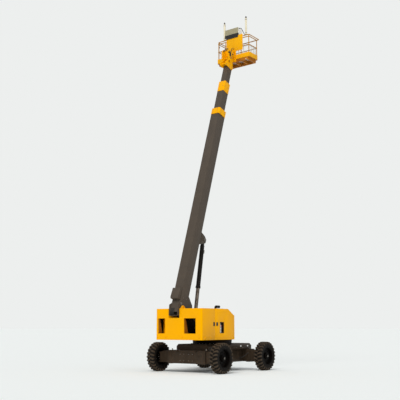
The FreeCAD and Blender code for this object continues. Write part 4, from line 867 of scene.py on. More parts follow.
# ---------------------------------------------------------------- upper structure
class BOOMLIFT_OT_covers(bpy.types.Operator):
    """Rounds the casting and both hoods and adds bolts, painted shade in the windows, latches, beads
    and vents
    """
    bl_idname = "boomlift.covers"
    bl_label = "Covers"

    def execute(self, context):
        softened("counterweight", "turntable", "yellow_enamel", "cast_yellow", 0.014)
        softened("hood_left", "hood_left", "yellow_enamel", "yellow_cover", 0.006)
        softened("hood_right", "hood_right", "yellow_enamel", "yellow_cover", 0.006)
        # The turntable frame takes the darker enamel, which is painted shade.
        softened("upper_frame", "turntable", "shaded_deck_enamel", "dark_steel", 0.005)

        def casting_bolts(bm):
            for y in (-1.02, -0.20, 0.62, 1.06):
                add_bolt(bm, slew(-2.200, y, 1.36), (-1, 0, 0), 0.046, 0.028)
            for side in (-1, 1):
                for x in (-1.98, -1.62):
                    add_bolt(bm, slew(x, side * COVER_HALF, 1.34), (0, side, 0), 0.040, 0.024)
        piece("casting_bolts", casting_bolts, "yellow_enamel", "turntable", "cast_yellow")

        def lifting_bush(bm):
            for sign in (-1, 1):
                place = Matrix.Translation(slew(-2.025, -0.084 + sign * 0.017, 2.510))
                add_ring_surface(bm, [(0.0, 0.0285), (0.0, 0.046),
                                      (sign * 0.006, 0.044), (sign * 0.006, 0.0285)], 28, place)
        piece("lifting_bush", lifting_bush, "yellow_enamel", "turntable", "cast_yellow", 35)

        windows = ((0.660, 1.030), (-0.850, -0.270))
        sill, lintel, face = 1.490, 2.080, -2.199

        def window_frames(bm):
            for y0, y1 in windows:
                for z in (sill, lintel):
                    add_rod(bm, slew(face, y0, z), slew(face, y1, z), 0.007, 8)
                for y in (y0, y1):
                    add_rod(bm, slew(face, y, sill), slew(face, y, lintel), 0.007, 8)
        piece("window_rims", window_frames, "yellow_enamel", "turntable", "cast_yellow", 40)

        # Painted shade: dark plates on the inner walls of each window opening stand in for the shade
        # inside them.
        def window_dark_painted_shade(bm):
            deep = -1.851
            for y0, y1 in windows:
                shade_outline = [(-1.930, sill), (deep, sill), (deep, lintel), (-2.085, lintel)]
                for low, high in ((y1 - 0.004, y1 - 0.0002), (y0 + 0.0002, y0 + 0.004)):
                    add_stations(bm, [[slew(x, y, z) for x, z in shade_outline] for y in (low, high)])
                for z in (1.4902, 2.0758):
                    add_box(bm, slew(-2.110, y0 + 0.004, z), slew(deep, y1 - 0.004, z + 0.004))
        piece("window_dark_painted_shade", window_dark_painted_shade, "shaded_deck_enamel", "turntable", "dark_steel")

        # Painted shade: a brown orange strip on one inner wall of each opening stands in for the shade
        # on that wall.
        def window_side_painted_shade(bm):
            for _, y1 in windows:
                shade_outline = [(-2.160, 1.495), (-1.932, 1.495), (-2.087, 2.075), (-2.178, 2.075)]
                add_stations(bm, [[slew(x, y, z) for x, z in shade_outline]
                                  for y in (y1 - 0.003, y1 - 0.0002)])
        piece("window_side_painted_shade", window_side_painted_shade, "floor_paint_and_shade", "turntable", "cast_yellow")

        def recess(bm):
            add_box(bm, slew(-1.460, -1.143, 1.780), slew(-1.360, -1.130, 1.930), 0.003)
        piece("casting_recess", recess, "black_abs", "turntable", "black_plastic")

        for side, tag in ((-1, "right"), (1, "left")):
            flank = side * COVER_HALF
            hood = "hood_" + tag

            def paddles(bm, side=side, flank=flank):
                spots = [(-1.215, 1.855)] if side < 0 else [(-1.215, 1.855), (-0.30, 1.60)]
                for x, z in spots:
                    add_box(bm, slew(x - 0.055, flank - side * 0.002, z - 0.070),
                            slew(x + 0.055, flank + side * 0.007, z + 0.070), 0.003)
                    add_box(bm, slew(x - 0.034, flank + side * 0.007, z - 0.045),
                            slew(x + 0.034, flank + side * 0.016, z + 0.025), 0.004)
            piece("latches_" + tag, paddles, "black_abs", hood, "black_plastic")

            def beads(bm, side=side, flank=flank):
                for z, end in ((1.335, -0.06), (2.318, -0.56)):
                    add_box(bm, slew(-1.325, flank, z),
                            slew(end, flank + side * 0.003, z + 0.010), 0.001)
            piece("cover_beads_" + tag, beads, "yellow_enamel", hood, "yellow_cover")

            def hinge_bolts(bm, side=side):
                inner = -0.40 if side < 0 else 0.56
                for x in (-1.227, -0.595):
                    for off in (-0.035, 0.035):
                        add_bolt(bm, slew(x + off, inner + side * 0.045, 2.450), (0, 0, 1),
                                 0.014, 0.007)
            piece("hinge_bolts_" + tag, hinge_bolts, "bare_steel", hood, "steel")

            def vents(bm, side=side):
                inner = 0.46 if side < 0 else 0.62
                for row in range(7):
                    x = -1.20 + row * 0.075
                    add_box(bm, slew(x, side * inner, 2.4495),
                            slew(x + 0.040, side * 1.06, 2.4570), 0.003)
            piece("top_vents_" + tag, vents, "black_abs", hood, "black_plastic")
        return {"FINISHED"}


class BOOMLIFT_OT_ground_controls(bpy.types.Operator):
    """Builds the ground control box: bezel, switches, stop button, key switch and gauge"""
    bl_idname = "boomlift.ground_controls"
    bl_label = "Ground controls"

    def execute(self, context):
        face = -1.075
        softened("ground_controls", "turntable", "black_abs", "black_plastic", 0.006)

        def plate(bm):
            add_box(bm, slew(-1.000, face - 0.004, 1.530), slew(-0.870, face + 0.002, 1.815),
                    0.002)
        piece("panel_plate", plate, "white_abs", "turntable", "mesh_pale")

        def bezel(bm):
            for x in (-1.022, -0.770):
                add_box(bm, slew(x, -1.1345, 1.506), slew(x + 0.012, -1.122, 1.934), 0.003)
            for z in (1.506, 1.922):
                add_box(bm, slew(-1.022, -1.1345, z), slew(-0.758, -1.122, z + 0.012), 0.003)
        piece("panel_bezel", bezel, "black_abs", "hood_right", "black_plastic")

        def switches(bm):
            for row in range(3):
                for col in range(4):
                    at = slew(-0.965 + col * 0.050, face - 0.004, 1.600 + row * 0.060)
                    add_disc(bm, at, (0, -1, 0), 0.014, 0.004, 20)
                    add_rod(bm, at, at + Vector((0, -0.024, 0.007)), 0.004, 8)
            at = slew(-0.830, face - 0.004, 1.850)
            add_disc(bm, at, (0, -1, 0), 0.018, 0.008, 24, 0.002)
            add_box(bm, at + Vector((-0.003, -0.020, -0.012)), at + Vector((0.003, -0.006, 0.012)))
            gauge = slew(-0.955, face - 0.004, 1.850)
            add_disc(bm, gauge, (0, -1, 0), 0.034, 0.010, 32, 0.003)
        piece("panel_switches", switches, "black_abs", "turntable", "black_plastic", 35)

        def glass(bm):
            gauge = slew(-0.955, face - 0.0142, 1.850)
            add_disc(bm, gauge, (0, -1, 0), 0.028, 0.002, 32, 0.001)
        piece("gauge_glass", glass, "clear_lens", "turntable", "mesh_pale", 35)

        def stop(bm):
            at = slew(-0.890, face - 0.004, 1.780)
            add_disc(bm, at, (0, -1, 0), 0.014, 0.018, 24, 0.002)
            add_disc(bm, at + Vector((0, -0.016, 0)), (0, -1, 0), 0.026, 0.014, 32, 0.006)
        piece("panel_stop", stop, "red_abs", "turntable", "floor_orange", 35)
        return {"FINISHED"}


class BOOMLIFT_OT_engine(bpy.types.Operator):
    """Details the engine bay: castings, cooler, fan, filters, exhaust, tank and valves"""
    bl_idname = "boomlift.engine"
    bl_label = "Engine"

    def execute(self, context):
        softened("engine_block", "turntable", "cast_iron", "engine", 0.010)
        y0 = -0.855

        def castings(bm):
            for k in range(4):
                x = -1.14 + k * 0.125
                add_box(bm, slew(x - 0.035, y0 - 0.020, 1.62), slew(x + 0.035, y0 + 0.010, 1.69),
                        0.008)
                add_box(bm, slew(x - 0.028, y0 + 0.150, 1.87), slew(x + 0.028, y0 + 0.245, 1.902),
                        0.006)
            add_box(bm, slew(-1.23, y0 + 0.03, 1.345), slew(-0.72, y0 + 0.34, 1.375), 0.010)
            add_rod(bm, slew(-1.20, y0 - 0.032, 1.655), slew(-0.72, y0 - 0.032, 1.655), 0.030,
                    20, 0.004)
        piece("engine_castings", castings, "cast_iron", "turntable", "engine", 35)

        def fins(bm):
            for k in range(26):
                z = 1.395 + k * 0.020
                add_box(bm, slew(-0.6105, y0 - 0.045, z), slew(-0.600, y0 + 0.420, z + 0.006))
        piece("cooler_fins", fins, "black_enamel", "turntable", "cylinder_black")

        def filters(bm):
            add_rod(bm, slew(-1.10, y0 + 0.435, 1.80), slew(-0.80, y0 + 0.435, 1.80), 0.062, 28,
                    0.006)
            add_rod(bm, slew(-1.13, y0 + 0.435, 1.80), slew(-1.09, y0 + 0.435, 1.80), 0.068, 28,
                    0.004)
            add_rod(bm, slew(-0.95, y0 + 0.420, 1.38), slew(-0.95, y0 + 0.420, 1.52), 0.046, 24,
                    0.005)
            for angle in around(6):
                hub = slew(-0.66, y0 + 0.19, 1.61)
                tip = hub + Vector((0.0, 0.17 * math.cos(angle), 0.17 * math.sin(angle)))
                add_rod(bm, hub + Vector((-0.012, 0, 0)), tip, 0.012, 6)
        piece("engine_filters", filters, "black_abs", "turntable", "black_plastic", 35)

        hose("cooler_hose_top", [slew(-0.72, y0 + 0.10, 1.86), slew(-0.66, y0 + 0.06, 1.90),
                                 slew(-0.62, y0 + 0.04, 1.91), slew(-0.58, y0 + 0.04, 1.88)],
             0.020, "turntable")
        hose("cooler_hose_low", [slew(-0.72, y0 + 0.30, 1.44), slew(-0.66, y0 + 0.33, 1.42),
                                 slew(-0.61, y0 + 0.34, 1.43)], 0.020, "turntable")

        foot = slew(-0.205, -0.318, 1.300)

        def silencer(bm):
            place = upright(foot)
            add_ring_surface(bm, [(0.0, 0.050), (0.0, 0.066), (0.012, 0.069), (0.860, 0.069),
                                  (0.880, 0.062), (0.900, 0.037), (1.235, 0.0355),
                                  (1.235, 0.030)], 32, place, closed_profile=False)
        can = piece("silencer_can", silencer, "black_enamel", "turntable", "cylinder_black", 32)
        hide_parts("exhaust")
        up = foot + Vector((0, 0, 1.225))
        hose("tail_pipe_bend", [up + Vector((x, 0, z)) for x, z in (
            (0, 0), (0, 0.028), (0.004, 0.039), (0.05, 0.039), (0.284, 0.039))],
             0.0350, "turntable", "black_enamel")

        def shield(bm):
            add_rod(bm, up + Vector((0.035, 0, 0.030)), up + Vector((0.262, 0, 0.030)), 0.056,
                    28, 0.006)
            add_rod(bm, up + Vector((0, 0, -0.060)), up + Vector((0, 0, 0.030)), 0.044, 28,
                    0.006)
        piece("tail_pipe_shield", shield, "black_enamel", "turntable", "cylinder_black", 35)

        def straps(bm):
            for z in (0.16, 0.72):
                add_ring_surface(bm, [(0, 0.0695), (0, 0.0725), (0.030, 0.0725),
                                      (0.030, 0.0695)], 32, upright(foot + Vector((0, 0, z))))
        piece("silencer_straps", straps, "bare_steel", "turntable", "steel", 35)

        def tank(bm):
            add_box(bm, slew(-1.26, 0.66, 1.302), slew(-0.52, 1.06, 1.86), 0.022)
            add_rod(bm, slew(-0.66, 0.86, 1.85), slew(-0.66, 0.86, 1.93), 0.048, 28, 0.006)
        piece("fluid_tank", tank, "chassis_enamel", "turntable", "dark_steel", 35)

        def valves(bm):
            add_box(bm, slew(-0.46, 0.68, 1.36), slew(-0.20, 0.96, 1.58), 0.006)
            for k in range(5):
                y = 0.71 + k * 0.055
                add_rod(bm, slew(-0.20, y, 1.47), slew(-0.14, y, 1.47), 0.018, 16, 0.003)
                add_rod(bm, slew(-0.40, y, 1.58), slew(-0.40, y, 1.615), 0.011, 10)
            for y in (0.70, 0.90):
                add_box(bm, slew(-0.46, y, 1.302), slew(-0.20, y + 0.04, 1.362))
        piece("valve_block", valves, "bare_steel", "turntable", "steel", 35)
        for k in range(4):
            y = 0.72 + k * 0.055
            hose("valve_hose_%d" % k,
                 [slew(-0.40, y, 1.61), slew(-0.40, y, 1.72), slew(-0.46, y - 0.02, 1.78),
                  slew(-0.56, y - 0.03, 1.80), slew(-0.60, y - 0.03, 1.84)], 0.009, "turntable")
        return {"FINISHED"}


# ---------------------------------------------------------------- boom
class BOOMLIFT_OT_boom(bpy.types.Operator):
    """Rounds the three tubes and their collars and adds pads, bolts, seams, tray and hoses"""
    bl_idname = "boomlift.boom"
    bl_label = "Boom"

    def execute(self, context):
        softened("boom_base_section", "boom_base", "boom_enamel", "boom_grey", 0.006)
        softened("boom_mid_section", "boom_mid", "boom_enamel", "boom_grey", 0.005)
        softened("boom_fly_section", "boom_fly", "boom_enamel", "boom_grey", 0.004)
        softened("base_collar", "boom_base", "yellow_enamel", "yellow", 0.008)
        softened("mid_collar", "boom_mid", "yellow_enamel", "yellow", 0.005)
        softened("hose_box", "boom_base", "boom_enamel", "black_plastic", 0.012)

        def pad_bolts(bm, x0, x1, half_width, half_depth):
            for x in (x0, (x0 + x1) / 2, x1):
                for off in (-0.5, 0.5):
                    for side in (-1, 1):
                        add_bolt(bm, on_boom(x, side * half_width,
                                                    TUBE_MIDDLE + off * half_depth),
                                 BOOM.to_3x3() @ Vector((0, side, 0)), 0.024, 0.012)
                        add_bolt(bm, on_boom(x, off * half_width,
                                                    TUBE_MIDDLE + side * half_depth),
                                 BOOM.to_3x3() @ Vector((0, 0, side)), 0.024, 0.012)
        piece("base_collar_bolts", lambda bm: pad_bolts(bm, 8.84, 9.03, 0.228, 0.258),
              "bare_steel", "boom_base", "steel")
        piece("mid_collar_bolts", lambda bm: pad_bolts(bm, 10.08, 10.47, 0.173, 0.198),
              "bare_steel", "boom_mid", "steel")

        def wear_pads(bm, tip, inner_width, inner_depth):
            for side in (-1, 1):
                for off in (-0.5, 0.5):
                    centre = Vector((tip, side * (inner_width + 0.010),
                                     TUBE_MIDDLE + off * inner_depth))
                    add_box_on(bm, centre, (0.006, 0.007, 0.045))
                    centre = Vector((tip, off * inner_width,
                                     TUBE_MIDDLE + side * (inner_depth + 0.010)))
                    add_box_on(bm, centre, (0.006, 0.045, 0.007))
        piece("base_wear_pads", lambda bm: wear_pads(bm, 9.088, 0.164, 0.189),
              "white_abs", "boom_base", "mesh_pale")
        piece("mid_wear_pads", lambda bm: wear_pads(bm, 10.528, 0.131, 0.150),
              "white_abs", "boom_mid", "mesh_pale")

        def seams(bm):
            for z in (TUBE_MIDDLE - 0.2310, TUBE_MIDDLE + 0.2310):
                for side in (-1, 1):
                    add_rod(bm, on_boom(-0.24, side * 0.197, z),
                            on_boom(8.79, side * 0.197, z), 0.0045, 6)
            for x in (2.44, 2.90, 3.42):
                for side in (-1, 1):
                    add_rod(bm, on_boom(x, side * 0.07, 0.2185),
                            on_boom(x + 0.05, side * 0.19, 0.2185), 0.005, 6)
        piece("boom_seams", seams, "boom_enamel", "boom_base", "boom_grey", 50)

        def tray(bm):
            for k in range(12):
                x = 0.95 + k * 0.66
                add_box_on(bm, Vector((x, 0.209, 0.575)), (0.030, 0.009, 0.055))
            add_box_on(bm, Vector((4.70, 0.2135, 0.575)), (3.95, 0.0055, 0.030))
        piece("line_tray", tray, "black_enamel", "boom_base", "cylinder_black")

        for k in range(3):
            z = 0.552 + k * 0.023
            hose("boom_line_%d" % k,
                 [on_boom(x, 0.2275, z) for x in (0.72, 2.6, 4.7, 6.8, 8.70)],
                 0.008, "boom_base")

        def tail_pins(bm):
            for side in (-1, 1):
                at = on_boom(0.10, side * 0.220, 0.62)
                add_pin_cap(bm, at, side, 0.055, 0.012, 0.036, 0.016)
                for x, z in ((-0.24, 0.36), (-0.27, 0.55), (0.35, 0.36), (0.35, 0.56)):
                    add_bolt(bm, on_boom(x, side * 0.220, z), (0, side, 0), 0.024,
                             0.013)
        piece("tail_pins", tail_pins, "bare_steel", "boom_base", "steel", 35)

        for k in range(4):
            y = 0.02 + k * 0.045
            hose("tail_hose_%d" % k,
                 [on_boom(x, y, z) for x, z in ((-0.10, 0.690), (-0.30, 0.705),
                                                        (-0.375, 0.62), (-0.350, 0.45),
                                                        (-0.24, 0.36))], 0.013, "boom_base")

        def pin_heads(bm):
            for side in (-1, 1):
                at = Vector((PIVOT.x, 0.2 + side * 0.287, PIVOT.z))
                add_disc(bm, at, (0, side, 0), 0.060, 0.008, 36, 0.003)
                for k in range(2):
                    angle = math.pi * k + 0.6
                    spot = at + Vector((0.036 * math.cos(angle), side * 0.008,
                                        0.036 * math.sin(angle)))
                    add_bolt(bm, spot, (0, side, 0), 0.020, 0.010)
        piece("pivot_caps", pin_heads, "bare_steel", "turntable", "steel", 35)

        def head_pin(bm):
            for side in (-1, 1):
                add_pin_cap(bm, HEAD_PIN + Vector((0, side * 0.108, 0)), side, 0.050, 0.008,
                            0.024, 0.012)
        piece("cylinder_pin_caps", head_pin, "bare_steel", "boom_base", "steel", 35)

        softened("boom_head", "boom_fly", "yellow_enamel", "yellow", 0.005)

        def head_bolts(bm):
            for side in (-1, 1):
                for x, z in ((11.335, 0.36), (11.335, 0.54), (11.430, 0.36), (11.430, 0.54),
                             (11.345, 0.78)):
                    add_bolt(bm, on_boom(x, side * 0.153, z), (0, side, 0), 0.026,
                             0.014)
        piece("head_bolts", head_bolts, "bare_steel", "boom_fly", "steel")

        def sheave(bm):
            centre = on_boom(11.600, 0.0, 0.56)
            place = Matrix.Translation(centre)
            add_ring_surface(bm, [(-0.060, 0.018), (-0.060, 0.070), (-0.052, 0.074),
                                  (-0.036, 0.056), (-0.020, 0.074), (0.020, 0.074),
                                  (0.036, 0.056), (0.052, 0.074), (0.060, 0.070),
                                  (0.060, 0.018)], 32, place)
            add_rod(bm, centre + Vector((0, -0.126, 0)), centre + Vector((0, 0.126, 0)),
                    0.018, 20)
        piece("head_sheave", sheave, "black_enamel", "boom_fly", "cylinder_black", 35)
        return {"FINISHED"}


def add_box_on(bm, centre, halves):
    """A box square to the boom, from its middle and half sizes in the boom's own axes."""
    corners = [BOOM @ (centre + Vector((sx * halves[0], sy * halves[1], sz * halves[2])))
               for sx in (-1, 1) for sy in (-1, 1) for sz in (-1, 1)]
    verts = [bm.verts.new(c) for c in corners]
    for face in ((0, 1, 3, 2), (4, 6, 7, 5), (0, 4, 5, 1), (2, 3, 7, 6), (0, 2, 6, 4),
                 (1, 5, 7, 3)):
        bm.faces.new([verts[k] for k in face])


class BOOMLIFT_OT_cylinder(bpy.types.Operator):
    """Turns the lift cylinder: barrel and rod with their eyes, oil pipe, valve and pin caps"""
    bl_idname = "boomlift.cylinder"
    bl_label = "Lift cylinder"

    def execute(self, context):
        side_axis = Vector((0, 1, 0))
        across = ROD_LINE.cross(side_axis)

        def along(x, y=0.0, z=0.0):
            return HEAD_PIN + ROD_LINE * x + side_axis * y + across * z

        frame_place = aimed(HEAD_PIN, ROD_LINE)

        def barrel(bm):
            profile = [(0.256, 0.070), (0.256, 0.088), (0.262, 0.0918), (0.300, 0.0918),
                       (0.304, 0.089), (1.945, 0.089), (1.955, 0.0995), (1.960, 0.1018),
                       (2.036, 0.1018), (2.0445, 0.098), (2.0445, 0.0755), (1.900, 0.0755),
                       (1.896, 0.0800), (0.300, 0.0800), (0.300, 0.070)]
            add_ring_surface(bm, profile, 64, frame_place)
        made = piece("barrel_turned", barrel, "black_enamel", "lift_barrel", "cylinder_black",
                     32)
        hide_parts("lift_cylinder_barrel")

        def add_eye(bm, pin, first, neck):
            """A half-round eye about a pin, closed by the neck's corners."""
            radius, half_thick = 0.0835, 0.0498
            outline = [(pin + radius * math.cos(angle), radius * math.sin(angle))
                       for angle in (first + math.pi * k / 24 for k in range(25))] + neck
            add_stations(bm, [[along(x, y, z) for x, z in outline]
                              for y in (-half_thick, half_thick)])

        def eye(bm):
            add_eye(bm, 0.0, math.pi / 2,
                    [(0.120, -0.0618), (0.262, -0.0618), (0.262, 0.0618), (0.120, 0.0618)])
        piece("barrel_eye", eye, "black_enamel", "lift_barrel", "cylinder_black", 40)

        def fittings(bm):
            for x in (0.36, 1.90):
                add_rod(bm, along(x, 0, 0.085), along(x, 0, 0.120), 0.020, 20, 0.003)
                add_bolt(bm, along(x, 0, 0.118), across, 0.030, 0.014)
            add_rod(bm, along(0.36, 0, 0.126), along(1.90, 0, 0.126), 0.0085, 12)
            for angle in around(8):
                spot = along(2.0445, 0.086 * math.cos(angle), 0.086 * math.sin(angle))
                add_bolt(bm, spot, ROD_LINE, 0.012, 0.006)
        piece("barrel_pipe", fittings, "bare_steel", "lift_barrel", "steel", 35)

        def valve(bm):
            low = [along(x, y, z) for x, y, z in ((0.42, -0.035, 0.088), (0.56, -0.035, 0.088),
                                                  (0.56, 0.035, 0.088), (0.42, 0.035, 0.088))]
            top = [p + across * 0.055 for p in low]
            add_stations(bm, [low, top])
            for x in (0.455, 0.525):
                add_rod(bm, along(x, 0.035, 0.118), along(x, 0.060, 0.118), 0.013, 16, 0.002)
        piece("holding_valve", valve, "bare_steel", "lift_barrel", "steel", 35)

        length = (FOOT_PIN - HEAD_PIN).length

        def rod(bm):
            add_rod(bm, along(1.4502, 0, 0), along(length - 0.108, 0, 0), 0.0748, 64, 0.002)
        bar = piece("rod_bar", rod, "chromed_rod", "lift_rod", "chrome", 35)
        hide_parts("lift_cylinder_rod")

        def rod_eye(bm):
            add_eye(bm, length, -math.pi / 2,
                    [(length - 0.118, 0.0618), (length - 0.118, -0.0618)])
        piece("rod_eye", rod_eye, "black_enamel", "lift_rod", "cylinder_black", 40)

        def foot_pins(bm):
            for side in (-1, 1):
                add_pin_cap(bm, FOOT_PIN + Vector((0, side * 0.108, 0)), side, 0.046, 0.010,
                            0.024, 0.012)
        piece("foot_pin_caps", foot_pins, "bare_steel", "turntable", "steel", 35)
        return {"FINISHED"}


class BOOMLIFT_OT_leveller(bpy.types.Operator):
    """Rounds the bracket and clamp and adds pins, bolts, the hose swivel and the hoses"""
    bl_idname = "boomlift.leveller"
    bl_label = "Leveller"

    def execute(self, context):
        softened("level_bracket", "leveller", "yellow_enamel", "yellow", 0.005)
        softened("platform_clamp", "platform", "yellow_enamel", "yellow", 0.004)
        axis_x = 0.235

        def pins(bm):
            for side in (-1, 1):
                at = cage(0, side * 0.1925, 0)
                add_disc(bm, at, (0, side, 0), 0.044, 0.010, 32, 0.003)
                for angle in (0.5, 0.5 + math.pi):
                    add_bolt(bm, at + Vector((0.026 * math.cos(angle), side * 0.010,
                                              0.026 * math.sin(angle))), (0, side, 0), 0.014,
                             0.008)
        piece("level_pin_caps", pins, "bare_steel", "boom_fly", "steel", 35)

        def dark_pins(bm):
            for side in (-1, 1):
                for x, z in ((-0.126, -0.190), (0.150, 0.20), (-0.150, 0.225)):
                    at = cage(x, side * 0.180, z)
                    add_disc(bm, at, (0, side, 0), 0.038, 0.014, 32, 0.004)
        piece("bracket_pins", dark_pins, "black_enamel", "leveller", "cylinder_black", 35)

        def rotator(bm):
            for z in (0.150, 0.405):
                for k in range(12):
                    angle = (k - 5.5) * math.tau / 26
                    spot = cage(axis_x + 0.1045 * math.cos(angle), 0.1045 * math.sin(angle), z)
                    add_bolt(bm, spot, (math.cos(angle), math.sin(angle), 0), 0.012, 0.004)
        piece("rotator_bolts", rotator, "bare_steel", "leveller", "steel")

        def clamp_bolts(bm):
            for angle in around(8):
                spot = cage(axis_x + 0.066 * math.cos(angle), 0.066 * math.sin(angle), 0.461)
                add_bolt(bm, spot, (0, 0, 1), 0.022, 0.012)
            for y in (-0.14, 0.14):
                for z in (0.16, 0.24):
                    add_bolt(bm, cage(0.435, y, z), (-1, 0, 0), 0.024, 0.013)
        piece("clamp_bolts", clamp_bolts, "bare_steel", "platform", "steel")

        def swivel(bm):
            at = cage(axis_x, 0, 0.461)
            add_disc(bm, at, (0, 0, 1), 0.046, 0.016, 32, 0.003)
            add_disc(bm, at + Vector((0, 0, 0.016)), (0, 0, 1), 0.034, 0.050, 32, 0.004)
            for angle in around(3):
                spot = at + Vector((0, 0, 0.042))
                add_rod(bm, spot, spot + Vector((0.052 * math.cos(angle),
                                                 0.052 * math.sin(angle), 0)), 0.012, 12, 0.002)
        piece("hose_swivel", swivel, "bare_steel", "leveller", "steel", 35)

        hose("hose_arc_main", [cage(-0.01, -0.1885, 0.085), cage(0.0, -0.1885, 0.26),
                               cage(0.06, -0.1885, 0.44), cage(0.16, -0.1870, 0.530),
                               cage(0.29, -0.165, 0.545), cage(0.370, -0.110, 0.530),
                               cage(0.345, -0.050, 0.508), cage(0.285, -0.020, 0.503)],
             0.0090, "leveller")
        hose("hose_arc_second", [cage(0.01, -0.1895, 0.080), cage(0.005, -0.1895, 0.24),
                                 cage(0.06, -0.1895, 0.41), cage(0.15, -0.180, 0.52),
                                 cage(0.24, -0.110, 0.545), cage(0.240, -0.052, 0.504)],
             0.0095, "leveller")
        for name, x, high, thick in (("hose_loop_outer", -0.082, 0.446, 0.0155),
                                     ("hose_loop_inner", -0.046, 0.405, 0.0105)):
            half = [(0.1965, 0.085), (0.1965, 0.24), (0.165, 0.355), (0.085, high - 0.012)]
            points = half + [(0.0, high)] + [(-y, z) for y, z in reversed(half)]
            hose(name, [cage(x, y, z) for y, z in points], thick, "leveller")

        def unions(bm):
            for x, y in ((-0.03, -0.190), (0.01, -0.190), (-0.082, 0.197), (-0.046, 0.197),
                         (-0.082, -0.197)):
                side = 1 if y > 0 else -1
                add_rod(bm, cage(x, side * 0.1795, 0.080), cage(x, side * 0.199, 0.080), 0.015,
                        12, 0.002)
        piece("hose_unions", unions, "bare_steel", "leveller", "steel", 35)
        return {"FINISHED"}


# ---------------------------------------------------------------- platform
CAGE_REAR, CAGE_DEPTH, CAGE_HALF = 0.459, 0.690, 0.880
RAIL_INSET, RAIL = 0.023, 0.019
RAIL_TOP, RAIL_RING, RAIL_MID = 1.123, 1.033, 0.643
REAR_X, FRONT_X = CAGE_REAR + RAIL_INSET, CAGE_REAR + CAGE_DEPTH - RAIL_INSET
SIDE_Y, DECK_Z = CAGE_HALF - RAIL_INSET, 0.105


# By default a tube takes the rails' enamel darkened as painted shade.
def tube_path(name, corners, bend, closed, body, finish="shaded_tube_enamel", slot="rail_yellow",
              radius=RAIL):
    """A bent round tube through corner points, each corner turned with an even bend."""
    points = []
    count = len(corners)
    for k, corner in enumerate(corners):
        corner = Vector(corner)
        if not closed and k in (0, count - 1):
            points.append(corner)
            continue
        before = (Vector(corners[k - 1]) - corner).normalized()
        after = (Vector(corners[(k + 1) % count]) - corner).normalized()
        for step in range(7):
            t = step / 6
            a, b = corner + before * bend, corner + after * bend
            points.append((1 - t) ** 2 * a + 2 * t * (1 - t) * corner + t ** 2 * b)

    def sweep(bm):
        sides = 16
        total = len(points)
        normal = None
        rings = []
        for k, point in enumerate(points):
            ahead = points[(k + 1) % total] if closed or k < total - 1 else point
            behind = points[k - 1] if closed or k else point
            along = (ahead - behind).normalized()
            if normal is None:
                normal = along.orthogonal().normalized()
            normal = (normal - along * normal.dot(along)).normalized()
            side = along.cross(normal)
            rings.append([bm.verts.new(point + radius * (
                math.cos(j * math.tau / sides) * normal + math.sin(j * math.tau / sides) * side))
                for j in range(sides)])
        for first, second in zip(rings, rings[1:]):
            for j in range(sides):
                n = (j + 1) % sides
                bm.faces.new((first[j], first[n], second[n], second[j]))
        if closed:
            first, last = rings[0], rings[-1]
            shift = min(range(sides), key=lambda j: (last[0].co - first[j].co).length)
            for j in range(sides):
                n = (j + 1) % sides
                bm.faces.new((last[j], last[n], first[(n + shift) % sides],
                              first[(j + shift) % sides]))
        else:
            bm.faces.new(rings[0])
            bm.faces.new(list(reversed(rings[-1])))
    return piece(name, sweep, finish, body, slot, 40)


